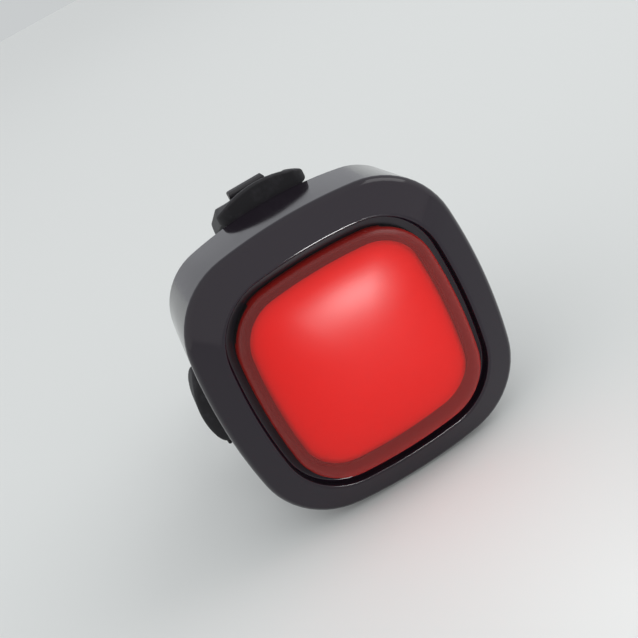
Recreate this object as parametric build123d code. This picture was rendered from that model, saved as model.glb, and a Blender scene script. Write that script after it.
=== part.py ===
from build123d import *
import os
from math import acos, atan2, cos, degrees, hypot, pi, radians, sin, sqrt

# Rear bike light strapped to a seatpost. Millimetres.
# +X runs along the post, +Y points from the lit face back to the post, +Z points to the strap's hook.
# The origin is on the post's axis, level with the middle of the light.

# Post and strap
TUBE_R = 13.6            # 27.2 mm seatpost
STRAP_W = 14.4
STRAP_T = 2.4
STRAP_SHIFT = 0.7        # how far it sits towards +X between its lugs
PIN_BACK = 6.6           # from the case's rear edge to the pin
PIN_IN = 5.1             # from the case's lower edge up to the pin
PIN_R = 1.25
PIN_FIT = 0.05
EYE_R = 3.0

# Case outline at the face edge and at the rear edge
FACE_Y = -49.0
FACE_HALF_W = 23.75
FACE_HALF_H = 24.3
WALL_DEPTH = 18.4
REAR_SIDE_IN = 0.25      # how far each side wall leans in over the depth
REAR_END_IN = 1.3        # the same for the top and bottom walls
SIDE_BOW_R = 84.0
CORNER_R = 13.5
REAR_BOW_R = 70.0
REAR_CORNER_R = 10.5
WALL = 1.8
FACE_EDGE_R = 0.8

# Bezel and lens
LIP_RISE = 2.4
BEZEL_SIDE_W = 5.15      # from the face's edge in to the lip, at the sides
BEZEL_END_W = 5.15       # the same at top and bottom
LIP_BOW_R = 77.5
LIP_CORNER_R = 10.7
LIP_FLAT = 0.4
MOAT_W = 1.5
LENS_BOW_R = 76.0
LENS_CORNER_R = 9.2
LENS_WALL = 1.5
LENS_CROWN = 3.6
LENS_ROUND = 2.6         # power of the dome's curve: higher is a squarer shoulder
LENS_RIM_ROUND = 0.6     # how far the dome's inside starts below its outside
DOME_STEPS = 8
MOAT_DEPTH = 1.8
LEDGE_W = 2.7            # from the lip's wall in to the light opening
SEAL_T = 0.4
CAVITY_GAP = 1.8         # from the face edge back to the cavity's front wall
ROOTED = 0.2             # how far a boss runs into the wall that carries it

# Light box
DIFFUSER_INSET = 2.2
DIFFUSER_T = 2.2
DIFFUSER_CROWN = 2.4
TRAY_WALL = 1.2
TRAY_FLOOR = 1.0
TRAY_TOP_GAP = 0.1
LED_W = 3.5
LED_H = 2.8
LED_T = 1.6
LED_COLS = 4
LED_ROWS = 3
LED_PITCH_X = 7.0
LED_PITCH_Z = 8.6
LED_HOLE_GAP = 0.3
LED_DISH_R = 1.1
LED_DISH_D = 0.4

# Board
BOARD_T = 1.2
BOARD_SIDE_GAP = 5.0     # from the face's edge in to the board's, at the sides
BOARD_END_GAP = 4.3      # the same at top and bottom
BOARD_CORNER_R = 6.0
BOARD_BOSS_GAP = 0.5
POST_R = 1.8
POST_IN = 5.4            # from the case's upper or lower edge to a board post
BOARD_SCREW_R = 0.7
BOARD_SCREW_HEAD_R = 1.4
BOARD_SCREW_HEAD_T = 0.9
BOARD_SCREW_L = 5.0
THREAD_FIT = 0.05
CHIP_T = 0.9
CHIPS = ((-9.7, 9.1, 5.0), (4.0, -0.5, 4.0), (-2.1, 4.9, 3.0))    # x, z and side of each square chip
RESISTORS = 6
RESISTOR_X = -8.0
RESISTOR_IN = 7.0        # from the board's lower edge up to the row
RESISTOR_PITCH = 3.2
RESISTOR_L = 1.6
RESISTOR_W = 0.8
RESISTOR_T = 0.5

# Charging port in the -X wall
PORT_BACK = 10.5         # from the face's edge back to the port's middle
USB_W = 8.94
USB_H = 3.26
USB_L = 7.35
USB_SHELL = 0.3
USB_SET_BACK = 1.0       # from the pocket's floor to the socket's mouth
USB_TONGUE_W = 6.7
USB_TONGUE_T = 0.7
USB_TONGUE_BACK = 0.8    # from the socket's mouth to the tongue's tip
USB_FLOOR = 1.0
PORT_SLOT_W = 9.6
PORT_SLOT_H = 3.8

# Port cover
COVER_L = 14.0
COVER_SHIFT = 0.75       # its middle lies this far towards the hinge from the port's
COVER_W = 7.0
COVER_PROUD = 2.3
COVER_CROWN_R = 13.5     # curve of its outside along its length
COVER_SEAT = 0.8
COVER_FIT = 0.25
COVER_EDGE_R = 0.5
COVER_HINGE_Z = 5.0
COVER_SPLIT = 0.2
COVER_PLUG_W = 2.6
COVER_PLUG_D = 1.0
COVER_PLUG_TOP = 3.4
COVER_PLUG_END = -3.9
COVER_FLOOR_GAP = 0.05
COVER_LIP_L = 0.3
COVER_LIP_W = 3.5
COVER_LIP_T = 0.7
COVER_LIP_UP = 0.2
ROOT_PEG_R = 0.8
ROOT_PEG_UP = 1.3

# Power button in the +X wall
BUTTON_L = 9.0
BUTTON_W = 5.0
BUTTON_PROUD = 1.3
BUTTON_TRAVEL = 0.8
BUTTON_FIT = 0.25
BUTTON_FLANGE = 0.8
BUTTON_FLANGE_T = 0.8
BUTTON_FLANGE_GAP = 0.3
BUTTON_EDGE_R = 0.6
SWITCH_IN = 8.35         # from the face's edge in to the switch
SWITCH_L = 3.2
SWITCH_W = 6.0
SWITCH_T = 3.4
PLUNGER_R = 0.9
PLUNGER_L = 0.8
PLUNGER_GAP = 0.1
STEM_R = 1.2

# Battery
CELL_W = 21.0
CELL_END_GAP = 0.3       # to the mount screws' heads
CELL_T = 4.8
CELL_X = 1.0
CELL_EDGE_R = 1.0
TAPE_T = 0.8
TAPE_INSET = 2.0
WIRE_D = 1.0
WIRE_X = (6.2, 8.2)
WIRE_UP = 2.3
WIRE_EDGE = 1.5          # from the cell's back face to the wires
WIRE_BEND = 0.45         # bend radius as a share of the shorter leg
CONNECTOR_W = 5.2
CONNECTOR_H = 3.0
CONNECTOR_T = 2.0

# Rear cover and its screws
COVER_T = 2.4
COVER_GAP = 0.1
GASKET_T = 0.8
GASKET_W = 1.3
SHELF_T = 1.2
BOSS_SIDE_IN = 9.85      # from the face's edge in to a corner screw, at the sides
BOSS_END_IN = 9.7        # the same at top and bottom
BOSS_R = 2.1
CASE_SCREW_R = 1.1
CASE_SCREW_L = 8.0
CASE_SCREW_GAP = 0.6      # left free at the hole's bottom
CASE_HEAD_R = 2.0
CASE_HEAD_T = 1.3
HEAD_SINK = 0.1
HEAD_GAP = 0.2
SHANK_GAP = 0.15
RECESS_W = 0.6
RECESS_L = 2.2
RECESS_D = 0.6

# Mount base
BASE_PLATE_T = 3.0
BASE_HALF_W = 10.0
BASE_END_IN = 3.8
BASE_CORNER_R = 3.0
BLOCK_END_IN = 9.3
BLOCK_TAPER_IN = 1.5
BLOCK_TAIL_Y = -10.5
PAD_T = 2.4
PAD_HALF_ANGLE = 48.0
PAD_GROOVES = 4
PAD_GROOVE_W = 1.0
PAD_GROOVE_D = 0.5
BASE_WALL = 2.0
BLOCK_POCKET_IN = 3.0
BLOCK_EDGE_R = 1.5
MOUNT_SCREW_IN = 6.8
MOUNT_SCREW_R = 1.0
MOUNT_SCREW_L = 4.6
MOUNT_SCREW_GAP = 0.2
MOUNT_HEAD_R = 1.7
MOUNT_HEAD_T = 1.2
LUG_T = 1.8
LUG_GAP = 0.9
LUG_R = 3.0

# Hook
HOOK_X = -0.2
HOOK_W = 6.8
HOOK_T = 1.6
HOOK_GAP = 6.0           # from the case's rear edge to the hook
HOOK_LIP = 0.6
HOOK_HEAD_T = 0.8
HOOK_HEAD_GAP = 0.15
HOOK_EDGE_R = 0.4
HOOK_ROOT = 1.0          # how far the hook and the lugs run into the block

# Hooked end of the strap
TAB_NOSE_BACK = 0.7      # from the case's rear edge back to the nose's top edge
TAB_NOSE_UP = 3.3        # from the case's rear edge up to the same
TAB_BROW_BACK = 2.6      # from the case's rear edge back to where the top flattens
TAB_BROW_UP = 3.0        # from the case's rear edge up to the same
TAB_NOSE_W = 16.4
TAB_NOSE_T = 4.2
TAB_BROW_T = 3.7
TAB_NOSE_ARCH = 2.0      # how far the nose's top falls to its sides
TAB_NOSE_CORNER_R = 2.2
TAB_TAIL_T = 2.6
TAB_TAIL_ARCH = 0.4
TAB_FLEX_BACK = 11.3     # from the case's rear edge back to the bend
TAB_FLEX_UP = 0.1
TAB_NOSE_BEVEL = 0.4
SLOT_SIDE = 0.4
SLOT_FRONT = 1.35
SLOT_BACK = 1.4          # room for the slot to swing past the hook
FLEX_GAP = 0.15

NEAR = 0.01              # slack when an edge is looked up by its place

# Places worked out from the sizes above
REAR_Y = FACE_Y + WALL_DEPTH
PORT_Y = FACE_Y + PORT_BACK
PIN_Y = REAR_Y + PIN_BACK
PIN_Z = PIN_IN - FACE_HALF_H
REAR_HALF_H = FACE_HALF_H - REAR_END_IN
TAB_NOSE_Y = REAR_Y + TAB_NOSE_BACK
TAB_NOSE_Z = REAR_HALF_H + TAB_NOSE_UP
TAB_BROW_Y = REAR_Y + TAB_BROW_BACK
TAB_BROW_Z = REAR_HALF_H + TAB_BROW_UP
TAB_FLEX_Y = REAR_Y + TAB_FLEX_BACK
TAB_FLEX_Z = REAR_HALF_H + TAB_FLEX_UP
LIP_HALF_W = FACE_HALF_W - BEZEL_SIDE_W
LIP_HALF_H = FACE_HALF_H - BEZEL_END_W
LENS_HALF_W = LIP_HALF_W - MOAT_W
LENS_HALF_H = LIP_HALF_H - MOAT_W
BOARD_HALF_W = FACE_HALF_W - BOARD_SIDE_GAP
BOARD_HALF_H = FACE_HALF_H - BOARD_END_GAP
POST_Z = FACE_HALF_H - POST_IN
RESISTOR_Z = RESISTOR_IN - BOARD_HALF_H
SWITCH_X = FACE_HALF_W - SWITCH_IN
BOSS_X = FACE_HALF_W - BOSS_SIDE_IN
BOSS_Z = FACE_HALF_H - BOSS_END_IN
MOUNT_SCREW_Z = FACE_HALF_H - MOUNT_SCREW_IN
CELL_H = 2 * (MOUNT_SCREW_Z - MOUNT_HEAD_R - CELL_END_GAP)
BASE_HALF_H = FACE_HALF_H - BASE_END_IN
BLOCK_HALF_H = FACE_HALF_H - BLOCK_END_IN
BLOCK_TAIL_HALF_H = BLOCK_HALF_H - BLOCK_TAPER_IN
BLOCK_POCKET_HALF_H = BLOCK_HALF_H - BLOCK_POCKET_IN
LIP_Y = FACE_Y - LIP_RISE
MOAT_Y = LIP_Y + MOAT_DEPTH
CAVITY_Y = FACE_Y + CAVITY_GAP
COVER_IN_Y = REAR_Y - COVER_T
GASKET_Y = COVER_IN_Y - GASKET_T
SHELF_Y = GASKET_Y - SHELF_T
BOARD_BACK_Y = PORT_Y - USB_H / 2
BOARD_Y = BOARD_BACK_Y - BOARD_T
LEDGE_INSET = LEDGE_W - MOAT_W
CELL_BACK_Y = COVER_IN_Y - TAPE_T
PAD_R = TUBE_R + PAD_T
STRAP_R = TUBE_R + STRAP_T
SIDE_LEAN = degrees(atan2(REAR_SIDE_IN, WALL_DEPTH))


def facing(y):
    """A plane across the light at depth y, whose outward side is the lit one."""
    return Plane(origin=(0, y, 0), x_dir=(1, 0, 0), z_dir=(0, -1, 0))


def squircle(half_w, half_h, bow_r, corner_r):
    """A square with bowed sides and tangent corner arcs."""
    top = Vector(0, half_h - bow_r)
    right = Vector(half_w - bow_r, 0)
    reach = bow_r - corner_r
    middle = (top + right) / 2
    across = Vector(-top.Y, -right.X)
    corner = middle + across.normalized() * sqrt(reach**2 - (top - right).length ** 2 / 4)
    p = top + (corner - top) * (bow_r / reach)
    q = right + (corner - right) * (bow_r / reach)
    turn = ((corner - top).normalized() + (corner - right).normalized()).normalized()
    m = corner + turn * corner_r
    edges = []
    for sx in (1, -1):
        edges.append(ThreePointArc((sx * q.X, q.Y), (sx * half_w, 0), (sx * q.X, -q.Y)))
        for sz in (1, -1):
            edges.append(ThreePointArc((sx * p.X, sz * p.Y), (sx * m.X, sz * m.Y), (sx * q.X, sz * q.Y)))
    for sz in (1, -1):
        edges.append(ThreePointArc((-p.X, sz * p.Y), (0, sz * half_h), (p.X, sz * p.Y)))
    return make_face(edges)


def case_outline(y, inset=0.0):
    """The case's outside at depth y, or the line inset from it."""
    share = (y - FACE_Y) / WALL_DEPTH
    return facing(y) * squircle(
        FACE_HALF_W - REAR_SIDE_IN * share - inset,
        FACE_HALF_H - REAR_END_IN * share - inset,
        SIDE_BOW_R + (REAR_BOW_R - SIDE_BOW_R) * share - inset,
        CORNER_R + (REAR_CORNER_R - CORNER_R) * share - inset,
    )


def lens_outline(y, inset=0.0):
    """The lens's outline at depth y, inset by a distance, or grown where it is negative."""
    return facing(y) * squircle(
        LENS_HALF_W - inset, LENS_HALF_H - inset, LENS_BOW_R - inset, LENS_CORNER_R - inset
    )


def case_slab(y0, y1, inset=0.0):
    """The stretch of the tapered case between two depths."""
    return loft([case_outline(y0, inset), case_outline(y1, inset)], ruled=True)


def lens_slab(y0, y1, inset=0.0):
    """A straight slab of the lens's outline."""
    return extrude(lens_outline(y1, inset), y1 - y0)


def lip_outline(y, outset=0.0):
    """The inner edge of the bezel's lip at depth y, grown by a distance."""
    return facing(y) * squircle(
        LIP_HALF_W + outset, LIP_HALF_H + outset, LIP_BOW_R + outset, LIP_CORNER_R + outset
    )


def dome(base_y, crown, inset):
    """A pillow on the lens's outline, rising from base_y towards the viewer in rings that shrink alike."""
    sizes = [LENS_HALF_W - inset, LENS_HALF_H - inset, LENS_BOW_R - inset, LENS_CORNER_R - inset]
    rings = []
    for k in range(DOME_STEPS + 1):
        share = cos(pi / 2 * k / (DOME_STEPS + 0.5))
        height = crown * (1 - share**LENS_ROUND) ** (1 / LENS_ROUND)
        rings.append(facing(base_y - height) * squircle(*[share * size for size in sizes]))
    solid = loft(rings[:2], ruled=True)
    for lower, upper in zip(rings[1:], rings[2:]):
        solid += loft([lower, upper], ruled=True)
    return solid


def rod(x, y0, y1, z, r):
    """A round bar along Y."""
    return Pos(x, (y0 + y1) / 2, z) * Rot(90, 0, 0) * Cylinder(r, abs(y1 - y0))


def block(x0, x1, y0, y1, z0, z1):
    """A box between two corners."""
    return Pos((x0 + x1) / 2, (y0 + y1) / 2, (z0 + z1) / 2) * Box(x1 - x0, y1 - y0, z1 - z0)


def screw(x, z, under_head, shank, head_r, head_t, shank_r):
    """A pan screw driven towards the viewer, its slot facing back."""
    body = rod(x, under_head, under_head + head_t, z, head_r)
    body += rod(x, under_head - shank, under_head, z, shank_r)
    top = under_head + head_t
    body -= block(x - RECESS_L / 2, x + RECESS_L / 2, top - RECESS_D, top, z - RECESS_W / 2, z + RECESS_W / 2)
    body -= block(x - RECESS_W / 2, x + RECESS_W / 2, top - RECESS_D, top, z - RECESS_L / 2, z + RECESS_L / 2)
    return body


def side_plane(sign, y, sink=0.0):
    """The plane of a side wall at depth y, sunk into it, with its outward normal and local X along Z."""
    half = FACE_HALF_W - REAR_SIDE_IN * (y - FACE_Y) / WALL_DEPTH - sink
    lean = radians(SIDE_LEAN)
    normal = (sign * cos(lean), sin(lean), 0)
    return Plane(origin=(sign * half, y, 0), x_dir=(0, 0, 1), z_dir=normal)


def profile(points_yz, half_w):
    """A prism across the light from a closed outline given as (y, z) points."""
    face = Plane.YZ * make_face(Polyline(*points_yz, close=True))
    return extrude(face, half_w, both=True)


def pill(length, width):
    return SlotOverall(length, width)


bosses = [(sx * BOSS_X, sz * BOSS_Z) for sx in (-1, 1) for sz in (-1, 1)]

# Port cover frame: its base plane is the floor of the pocket in the wall
cover_floor = side_plane(-1, PORT_Y, COVER_SEAT)
button_half = FACE_HALF_W - REAR_SIDE_IN * (PORT_Y - FACE_Y) / WALL_DEPTH


def make_front_shell():
    body = case_slab(FACE_Y, REAR_Y)
    body += loft([case_outline(FACE_Y), lip_outline(LIP_Y, LIP_FLAT)], ruled=True)
    rim = body.edges().filter_by_position(Axis.Y, FACE_Y - NEAR, FACE_Y + NEAR)
    body = fillet(rim, FACE_EDGE_R)
    body -= extrude(lip_outline(MOAT_Y), MOAT_DEPTH + 1)
    opening = lens_outline(CAVITY_Y + 1, LEDGE_INSET)
    body -= extrude(opening, CAVITY_Y + 1 - MOAT_Y + 1)
    body -= case_slab(CAVITY_Y, REAR_Y, WALL)
    ring_in = case_outline(REAR_Y, WALL + GASKET_W)
    shelf = case_slab(SHELF_Y, GASKET_Y, WALL / 2)
    inner = extrude(Pos(0, GASKET_Y + 1 - REAR_Y, 0) * ring_in, GASKET_Y - SHELF_Y + 2)
    body += shelf - inner
    for x, z in bosses:
        body += rod(x, CAVITY_Y - ROOTED, GASKET_Y, z, BOSS_R)
    for sz in (-1, 1):
        body += rod(0, CAVITY_Y - ROOTED, BOARD_Y, sz * POST_Z, POST_R)
    for x, z in bosses:
        body -= rod(x, GASKET_Y - CASE_SCREW_L, GASKET_Y + 1, z, CASE_SCREW_R + THREAD_FIT)
    for sz in (-1, 1):
        body -= rod(0, BOARD_Y - BOARD_SCREW_L, BOARD_Y, sz * POST_Z, BOARD_SCREW_R + THREAD_FIT)
    seat = cover_floor * Pos(COVER_SHIFT, 0) * pill(COVER_L + 2 * COVER_FIT, COVER_W + 2 * COVER_FIT)
    body -= extrude(seat, COVER_SEAT + 1)
    slot = cover_floor * pill(PORT_SLOT_W, PORT_SLOT_H)
    body -= extrude(slot, -WALL - 1)
    peg = cover_floor * Pos(COVER_HINGE_Z + ROOT_PEG_UP, 0) * Circle(ROOT_PEG_R + THREAD_FIT)
    body -= extrude(peg, -WALL - 1)
    hole = Plane(origin=(button_half, PORT_Y, 0), x_dir=(0, 0, 1), z_dir=(1, 0, 0)) * pill(
        BUTTON_L + 2 * BUTTON_FIT, BUTTON_W + 2 * BUTTON_FIT
    )
    body -= extrude(hole, 2 * WALL, both=True)
    return body


def make_lens():
    seat_y = MOAT_Y - SEAL_T
    body = lens_slab(LIP_Y, seat_y) + dome(LIP_Y, LENS_CROWN, 0)
    inner_rim = LIP_Y + LENS_RIM_ROUND
    body -= lens_slab(inner_rim, seat_y + 1, LENS_WALL)
    body -= dome(inner_rim, LENS_CROWN + LENS_RIM_ROUND - LENS_WALL, LENS_WALL)
    return body


def make_lens_seal():
    return lens_slab(MOAT_Y - SEAL_T, MOAT_Y) - lens_slab(MOAT_Y - SEAL_T - 1, MOAT_Y + 1, LEDGE_INSET)


def make_diffuser():
    back = CAVITY_Y - TRAY_TOP_GAP
    front = back - DIFFUSER_T
    return lens_slab(front, back, DIFFUSER_INSET) + dome(front, DIFFUSER_CROWN, DIFFUSER_INSET)


def led_places():
    for col in range(LED_COLS):
        for row in range(LED_ROWS):
            yield (col - (LED_COLS - 1) / 2) * LED_PITCH_X, (row - (LED_ROWS - 1) / 2) * LED_PITCH_Z


def make_light_tray():
    front = CAVITY_Y
    body = lens_slab(front, BOARD_Y, DIFFUSER_INSET)
    body -= lens_slab(front - 1, BOARD_Y - TRAY_FLOOR, DIFFUSER_INSET + TRAY_WALL)
    half_w, half_h = LED_W / 2 + LED_HOLE_GAP, LED_H / 2 + LED_HOLE_GAP
    for x, z in led_places():
        body -= block(x - half_w, x + half_w, BOARD_Y - TRAY_FLOOR - 1, BOARD_Y + 1, z - half_h, z + half_h)
    return body


def make_leds():
    chips = []
    for x, z in led_places():
        chip = block(x - LED_W / 2, x + LED_W / 2, BOARD_Y - LED_T, BOARD_Y, z - LED_H / 2, z + LED_H / 2)
        chips.append(chip - rod(x, BOARD_Y - LED_T - 1, BOARD_Y - LED_T + LED_DISH_D, z, LED_DISH_R))
    return chips


def make_circuit_board():
    outline = facing(BOARD_Y) * RectangleRounded(2 * BOARD_HALF_W, 2 * BOARD_HALF_H, BOARD_CORNER_R)
    body = extrude(outline, -BOARD_T)
    for x, z in bosses:
        body -= rod(x, BOARD_Y - 1, BOARD_BACK_Y + 1, z, BOSS_R + BOARD_BOSS_GAP)
        sx, sz = (1 if x > 0 else -1), (1 if z > 0 else -1)
        xs, zs = sorted((x, x + sx * CORNER_R)), sorted((z, z + sz * CORNER_R))
        body -= block(xs[0], xs[1], BOARD_Y - 1, BOARD_BACK_Y + 1, zs[0], zs[1])
    for sz in (-1, 1):
        body -= rod(0, BOARD_Y - 1, BOARD_BACK_Y + 1, sz * POST_Z, BOARD_SCREW_R + SHANK_GAP)
    return body


def make_control_chips():
    y0, y1 = BOARD_BACK_Y, BOARD_BACK_Y + CHIP_T
    return [block(x - side / 2, x + side / 2, y0, y1, z - side / 2, z + side / 2) for x, z, side in CHIPS]


def make_chip_resistors():
    parts = []
    for k in range(RESISTORS):
        x = RESISTOR_X + RESISTOR_PITCH * k
        y0, y1 = BOARD_BACK_Y, BOARD_BACK_Y + RESISTOR_T
        z0, z1 = RESISTOR_Z - RESISTOR_W / 2, RESISTOR_Z + RESISTOR_W / 2
        parts.append(block(x - RESISTOR_L / 2, x + RESISTOR_L / 2, y0, y1, z0, z1))
    return parts


def make_board_screws():
    return [
        screw(
            0, sz * POST_Z, BOARD_BACK_Y, BOARD_SCREW_L, BOARD_SCREW_HEAD_R, BOARD_SCREW_HEAD_T, BOARD_SCREW_R
        )
        for sz in (-1, 1)
    ]


def make_tactile_switch():
    y1 = BOARD_BACK_Y + SWITCH_T
    body = block(SWITCH_X, SWITCH_X + SWITCH_L, BOARD_BACK_Y, y1, -SWITCH_W / 2, SWITCH_W / 2)
    middle = Pos(SWITCH_X + SWITCH_L + PLUNGER_L / 2, PORT_Y, 0)
    plunger = middle * Rot(0, 90, 0) * Cylinder(PLUNGER_R, PLUNGER_L)
    return body + plunger


def make_power_button():
    face = Plane(origin=(button_half + BUTTON_PROUD, PORT_Y, 0), x_dir=(0, 0, 1), z_dir=(1, 0, 0))
    flange_x = button_half - WALL - REAR_SIDE_IN * (BUTTON_W / 2 + BUTTON_FLANGE) / WALL_DEPTH
    flange_x -= BUTTON_FLANGE_GAP
    cap = extrude(face * pill(BUTTON_L, BUTTON_W), -(button_half + BUTTON_PROUD - flange_x))
    top = button_half + BUTTON_PROUD
    rim = cap.edges().filter_by_position(Axis.X, top - NEAR, top + NEAR)
    cap = fillet(rim, BUTTON_EDGE_R)
    flange = Plane(origin=(flange_x, PORT_Y, 0), x_dir=(0, 0, 1), z_dir=(-1, 0, 0)) * pill(
        BUTTON_L + 2 * BUTTON_FLANGE, BUTTON_W + 2 * BUTTON_FLANGE
    )
    cap += extrude(flange, BUTTON_FLANGE_T)
    stem_end = SWITCH_X + SWITCH_L + PLUNGER_L + BUTTON_TRAVEL + PLUNGER_GAP
    stem_l = flange_x - stem_end
    cap += Pos(stem_end + stem_l / 2, PORT_Y, 0) * Rot(0, 90, 0) * Cylinder(STEM_R, stem_l)
    return cap


def usb_mouth():
    """X of the socket's mouth, just behind the wall's slot."""
    return -(button_half - COVER_SEAT - USB_SET_BACK)


def make_usb_socket():
    x0 = usb_mouth()
    frame = Plane(origin=(x0, PORT_Y, 0), x_dir=(0, 0, 1), z_dir=(-1, 0, 0))
    body = extrude(frame * pill(USB_W, USB_H), -USB_L)
    inner = extrude(frame * pill(USB_W - 2 * USB_SHELL, USB_H - 2 * USB_SHELL), -(USB_L - USB_FLOOR))
    return body - inner


def make_usb_tongue():
    x0 = usb_mouth()
    half_t, half_w = USB_TONGUE_T / 2, USB_TONGUE_W / 2
    x1 = x0 + USB_L - USB_FLOOR
    return block(x0 + USB_TONGUE_BACK, x1, PORT_Y - half_t, PORT_Y + half_t, -half_w, half_w)


def make_battery_connector():
    x0 = sum(WIRE_X) / 2 - CONNECTOR_W / 2
    z0 = CELL_H / 2 + WIRE_UP - CONNECTOR_H / 2
    back = BOARD_BACK_Y + CONNECTOR_T
    return block(x0, x0 + CONNECTOR_W, BOARD_BACK_Y, back, z0, z0 + CONNECTOR_H)


def make_battery_cell():
    x0, x1 = CELL_X - CELL_W / 2, CELL_X + CELL_W / 2
    body = block(x0, x1, CELL_BACK_Y - CELL_T, CELL_BACK_Y, -CELL_H / 2, CELL_H / 2)
    return fillet(body.edges().filter_by(Axis.Z), CELL_EDGE_R)


def make_battery_tape():
    half_w, half_h = CELL_W / 2 - TAPE_INSET, CELL_H / 2 - TAPE_INSET
    return block(CELL_X - half_w, CELL_X + half_w, CELL_BACK_Y, COVER_IN_Y, -half_h, half_h)


def make_battery_wire(x):
    y_cell = CELL_BACK_Y - WIRE_EDGE
    y_end = BOARD_BACK_Y + CONNECTOR_T
    z0, z1 = CELL_H / 2, CELL_H / 2 + WIRE_UP
    bend = WIRE_BEND * min(WIRE_UP, y_cell - y_end)
    path = FilletPolyline((x, y_cell, z0), (x, y_cell, z1), (x, y_end, z1), radius=bend)
    section = Plane(origin=(x, y_cell, z0), z_dir=(0, 0, 1)) * Circle(WIRE_D / 2)
    return sweep(section, path)


def make_rear_cover():
    body = extrude(case_outline(REAR_Y, WALL + COVER_GAP), COVER_T)
    for x, z in bosses:
        body -= rod(x, COVER_IN_Y - 1, REAR_Y + 1, z, CASE_SCREW_R + SHANK_GAP)
        body -= rod(x, REAR_Y - CASE_HEAD_T - HEAD_SINK, REAR_Y + 1, z, CASE_HEAD_R + HEAD_GAP)
    for sz in (-1, 1):
        body -= rod(0, COVER_IN_Y - 1, REAR_Y + 1, sz * MOUNT_SCREW_Z, MOUNT_SCREW_R + SHANK_GAP)
    return body


def make_cover_gasket():
    ring = extrude(Pos(0, COVER_IN_Y - REAR_Y, 0) * case_outline(REAR_Y, WALL + COVER_GAP), GASKET_T)
    hole = extrude(Pos(0, COVER_IN_Y - REAR_Y + 1, 0) * case_outline(REAR_Y, WALL + GASKET_W), GASKET_T + 2)
    return ring - hole


def make_case_screws():
    under = REAR_Y - CASE_HEAD_T - HEAD_SINK
    reach = CASE_SCREW_L + COVER_T - CASE_HEAD_T - HEAD_SINK + GASKET_T - CASE_SCREW_GAP
    return [screw(x, z, under, reach, CASE_HEAD_R, CASE_HEAD_T, CASE_SCREW_R) for x, z in bosses]


def hook_front():
    return REAR_Y + HOOK_GAP


def strap_top_z(y):
    """Height of the hooked end's top surface at depth y."""
    if y < TAB_BROW_Y:
        share = (y - TAB_BROW_Y) / (TAB_NOSE_Y - TAB_BROW_Y)
        return TAB_BROW_Z + (TAB_NOSE_Z - TAB_BROW_Z) * share
    share = (y - TAB_FLEX_Y) / (TAB_BROW_Y - TAB_FLEX_Y)
    return TAB_FLEX_Z + (TAB_BROW_Z - TAB_FLEX_Z) * share


def make_mount_base():
    plate_back = REAR_Y + BASE_PLATE_T
    outline = facing(REAR_Y) * RectangleRounded(2 * BASE_HALF_W, 2 * BASE_HALF_H, BASE_CORNER_R)
    body = extrude(outline, -BASE_PLATE_T)
    points = [
        (REAR_Y + 1, -BLOCK_HALF_H),
        (REAR_Y + 1, BLOCK_HALF_H),
        (BLOCK_TAIL_Y, BLOCK_TAIL_HALF_H),
        (BLOCK_TAIL_Y, -BLOCK_TAIL_HALF_H),
    ]
    core = profile(points, BASE_HALF_W)
    outer = core.edges().filter_by(lambda e: abs(e.center().Z) > BLOCK_TAIL_HALF_H)
    long_edges = outer.filter_by(lambda e: abs(e.center().X) > 1)
    body += fillet(long_edges, BLOCK_EDGE_R)
    bar = Rot(0, 90, 0) * Cylinder(PAD_R, 4 * BASE_HALF_W)
    pocket_half_w = BASE_HALF_W - BASE_WALL
    pocket_end = -PAD_R - BASE_WALL
    body -= block(
        -pocket_half_w, pocket_half_w, REAR_Y - 1, pocket_end, -BLOCK_POCKET_HALF_H, BLOCK_POCKET_HALF_H
    )
    lug_in = STRAP_W / 2 + LUG_GAP
    lug = Plane.YZ * make_face(
        Polyline(
            (PIN_Y - LUG_R, -BLOCK_HALF_H + HOOK_ROOT),
            (PIN_Y - LUG_R, PIN_Z),
            (PIN_Y + LUG_R, PIN_Z),
            (PIN_Y + LUG_R, -BLOCK_HALF_H + HOOK_ROOT),
            close=True,
        )
    )
    lug += Plane.YZ * Pos(PIN_Y, PIN_Z) * Circle(LUG_R)
    for sign in (-1, 1):
        body += Pos(sign * (lug_in + LUG_T / 2), 0, 0) * extrude(lug, LUG_T / 2, both=True)
    body -= Pos(0, PIN_Y, PIN_Z) * Rot(0, 90, 0) * Cylinder(PIN_R + PIN_FIT, 4 * BASE_HALF_W)
    y0 = hook_front()
    y1 = y0 + HOOK_T
    neck_top = strap_top_z(y0) + HOOK_HEAD_GAP
    hook_x0 = HOOK_X - HOOK_W / 2
    hook_x1 = HOOK_X + HOOK_W / 2
    body += block(hook_x0, hook_x1, y0, y1, BLOCK_HALF_H - HOOK_ROOT, neck_top + ROOTED)
    head_top = neck_top + HOOK_HEAD_T
    head = block(hook_x0, hook_x1, y0 - HOOK_LIP, y1, neck_top, head_top)
    top = head.edges().filter_by_position(Axis.Z, head_top - NEAR, head_top + NEAR)
    body += fillet(top, HOOK_EDGE_R)
    body -= bar
    for sz in (-1, 1):
        tip = REAR_Y + MOUNT_SCREW_L - COVER_T
        body -= rod(0, REAR_Y - 1, tip, sz * MOUNT_SCREW_Z, MOUNT_SCREW_R + THREAD_FIT)
    return body


def make_mount_screws():
    screws = []
    for sz in (-1, 1):
        tip = COVER_IN_Y + MOUNT_SCREW_L - MOUNT_SCREW_GAP
        body = rod(0, COVER_IN_Y - MOUNT_HEAD_T, COVER_IN_Y, sz * MOUNT_SCREW_Z, MOUNT_HEAD_R)
        body += rod(0, COVER_IN_Y, tip, sz * MOUNT_SCREW_Z, MOUNT_SCREW_R)
        screws.append(body)
    return screws


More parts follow.
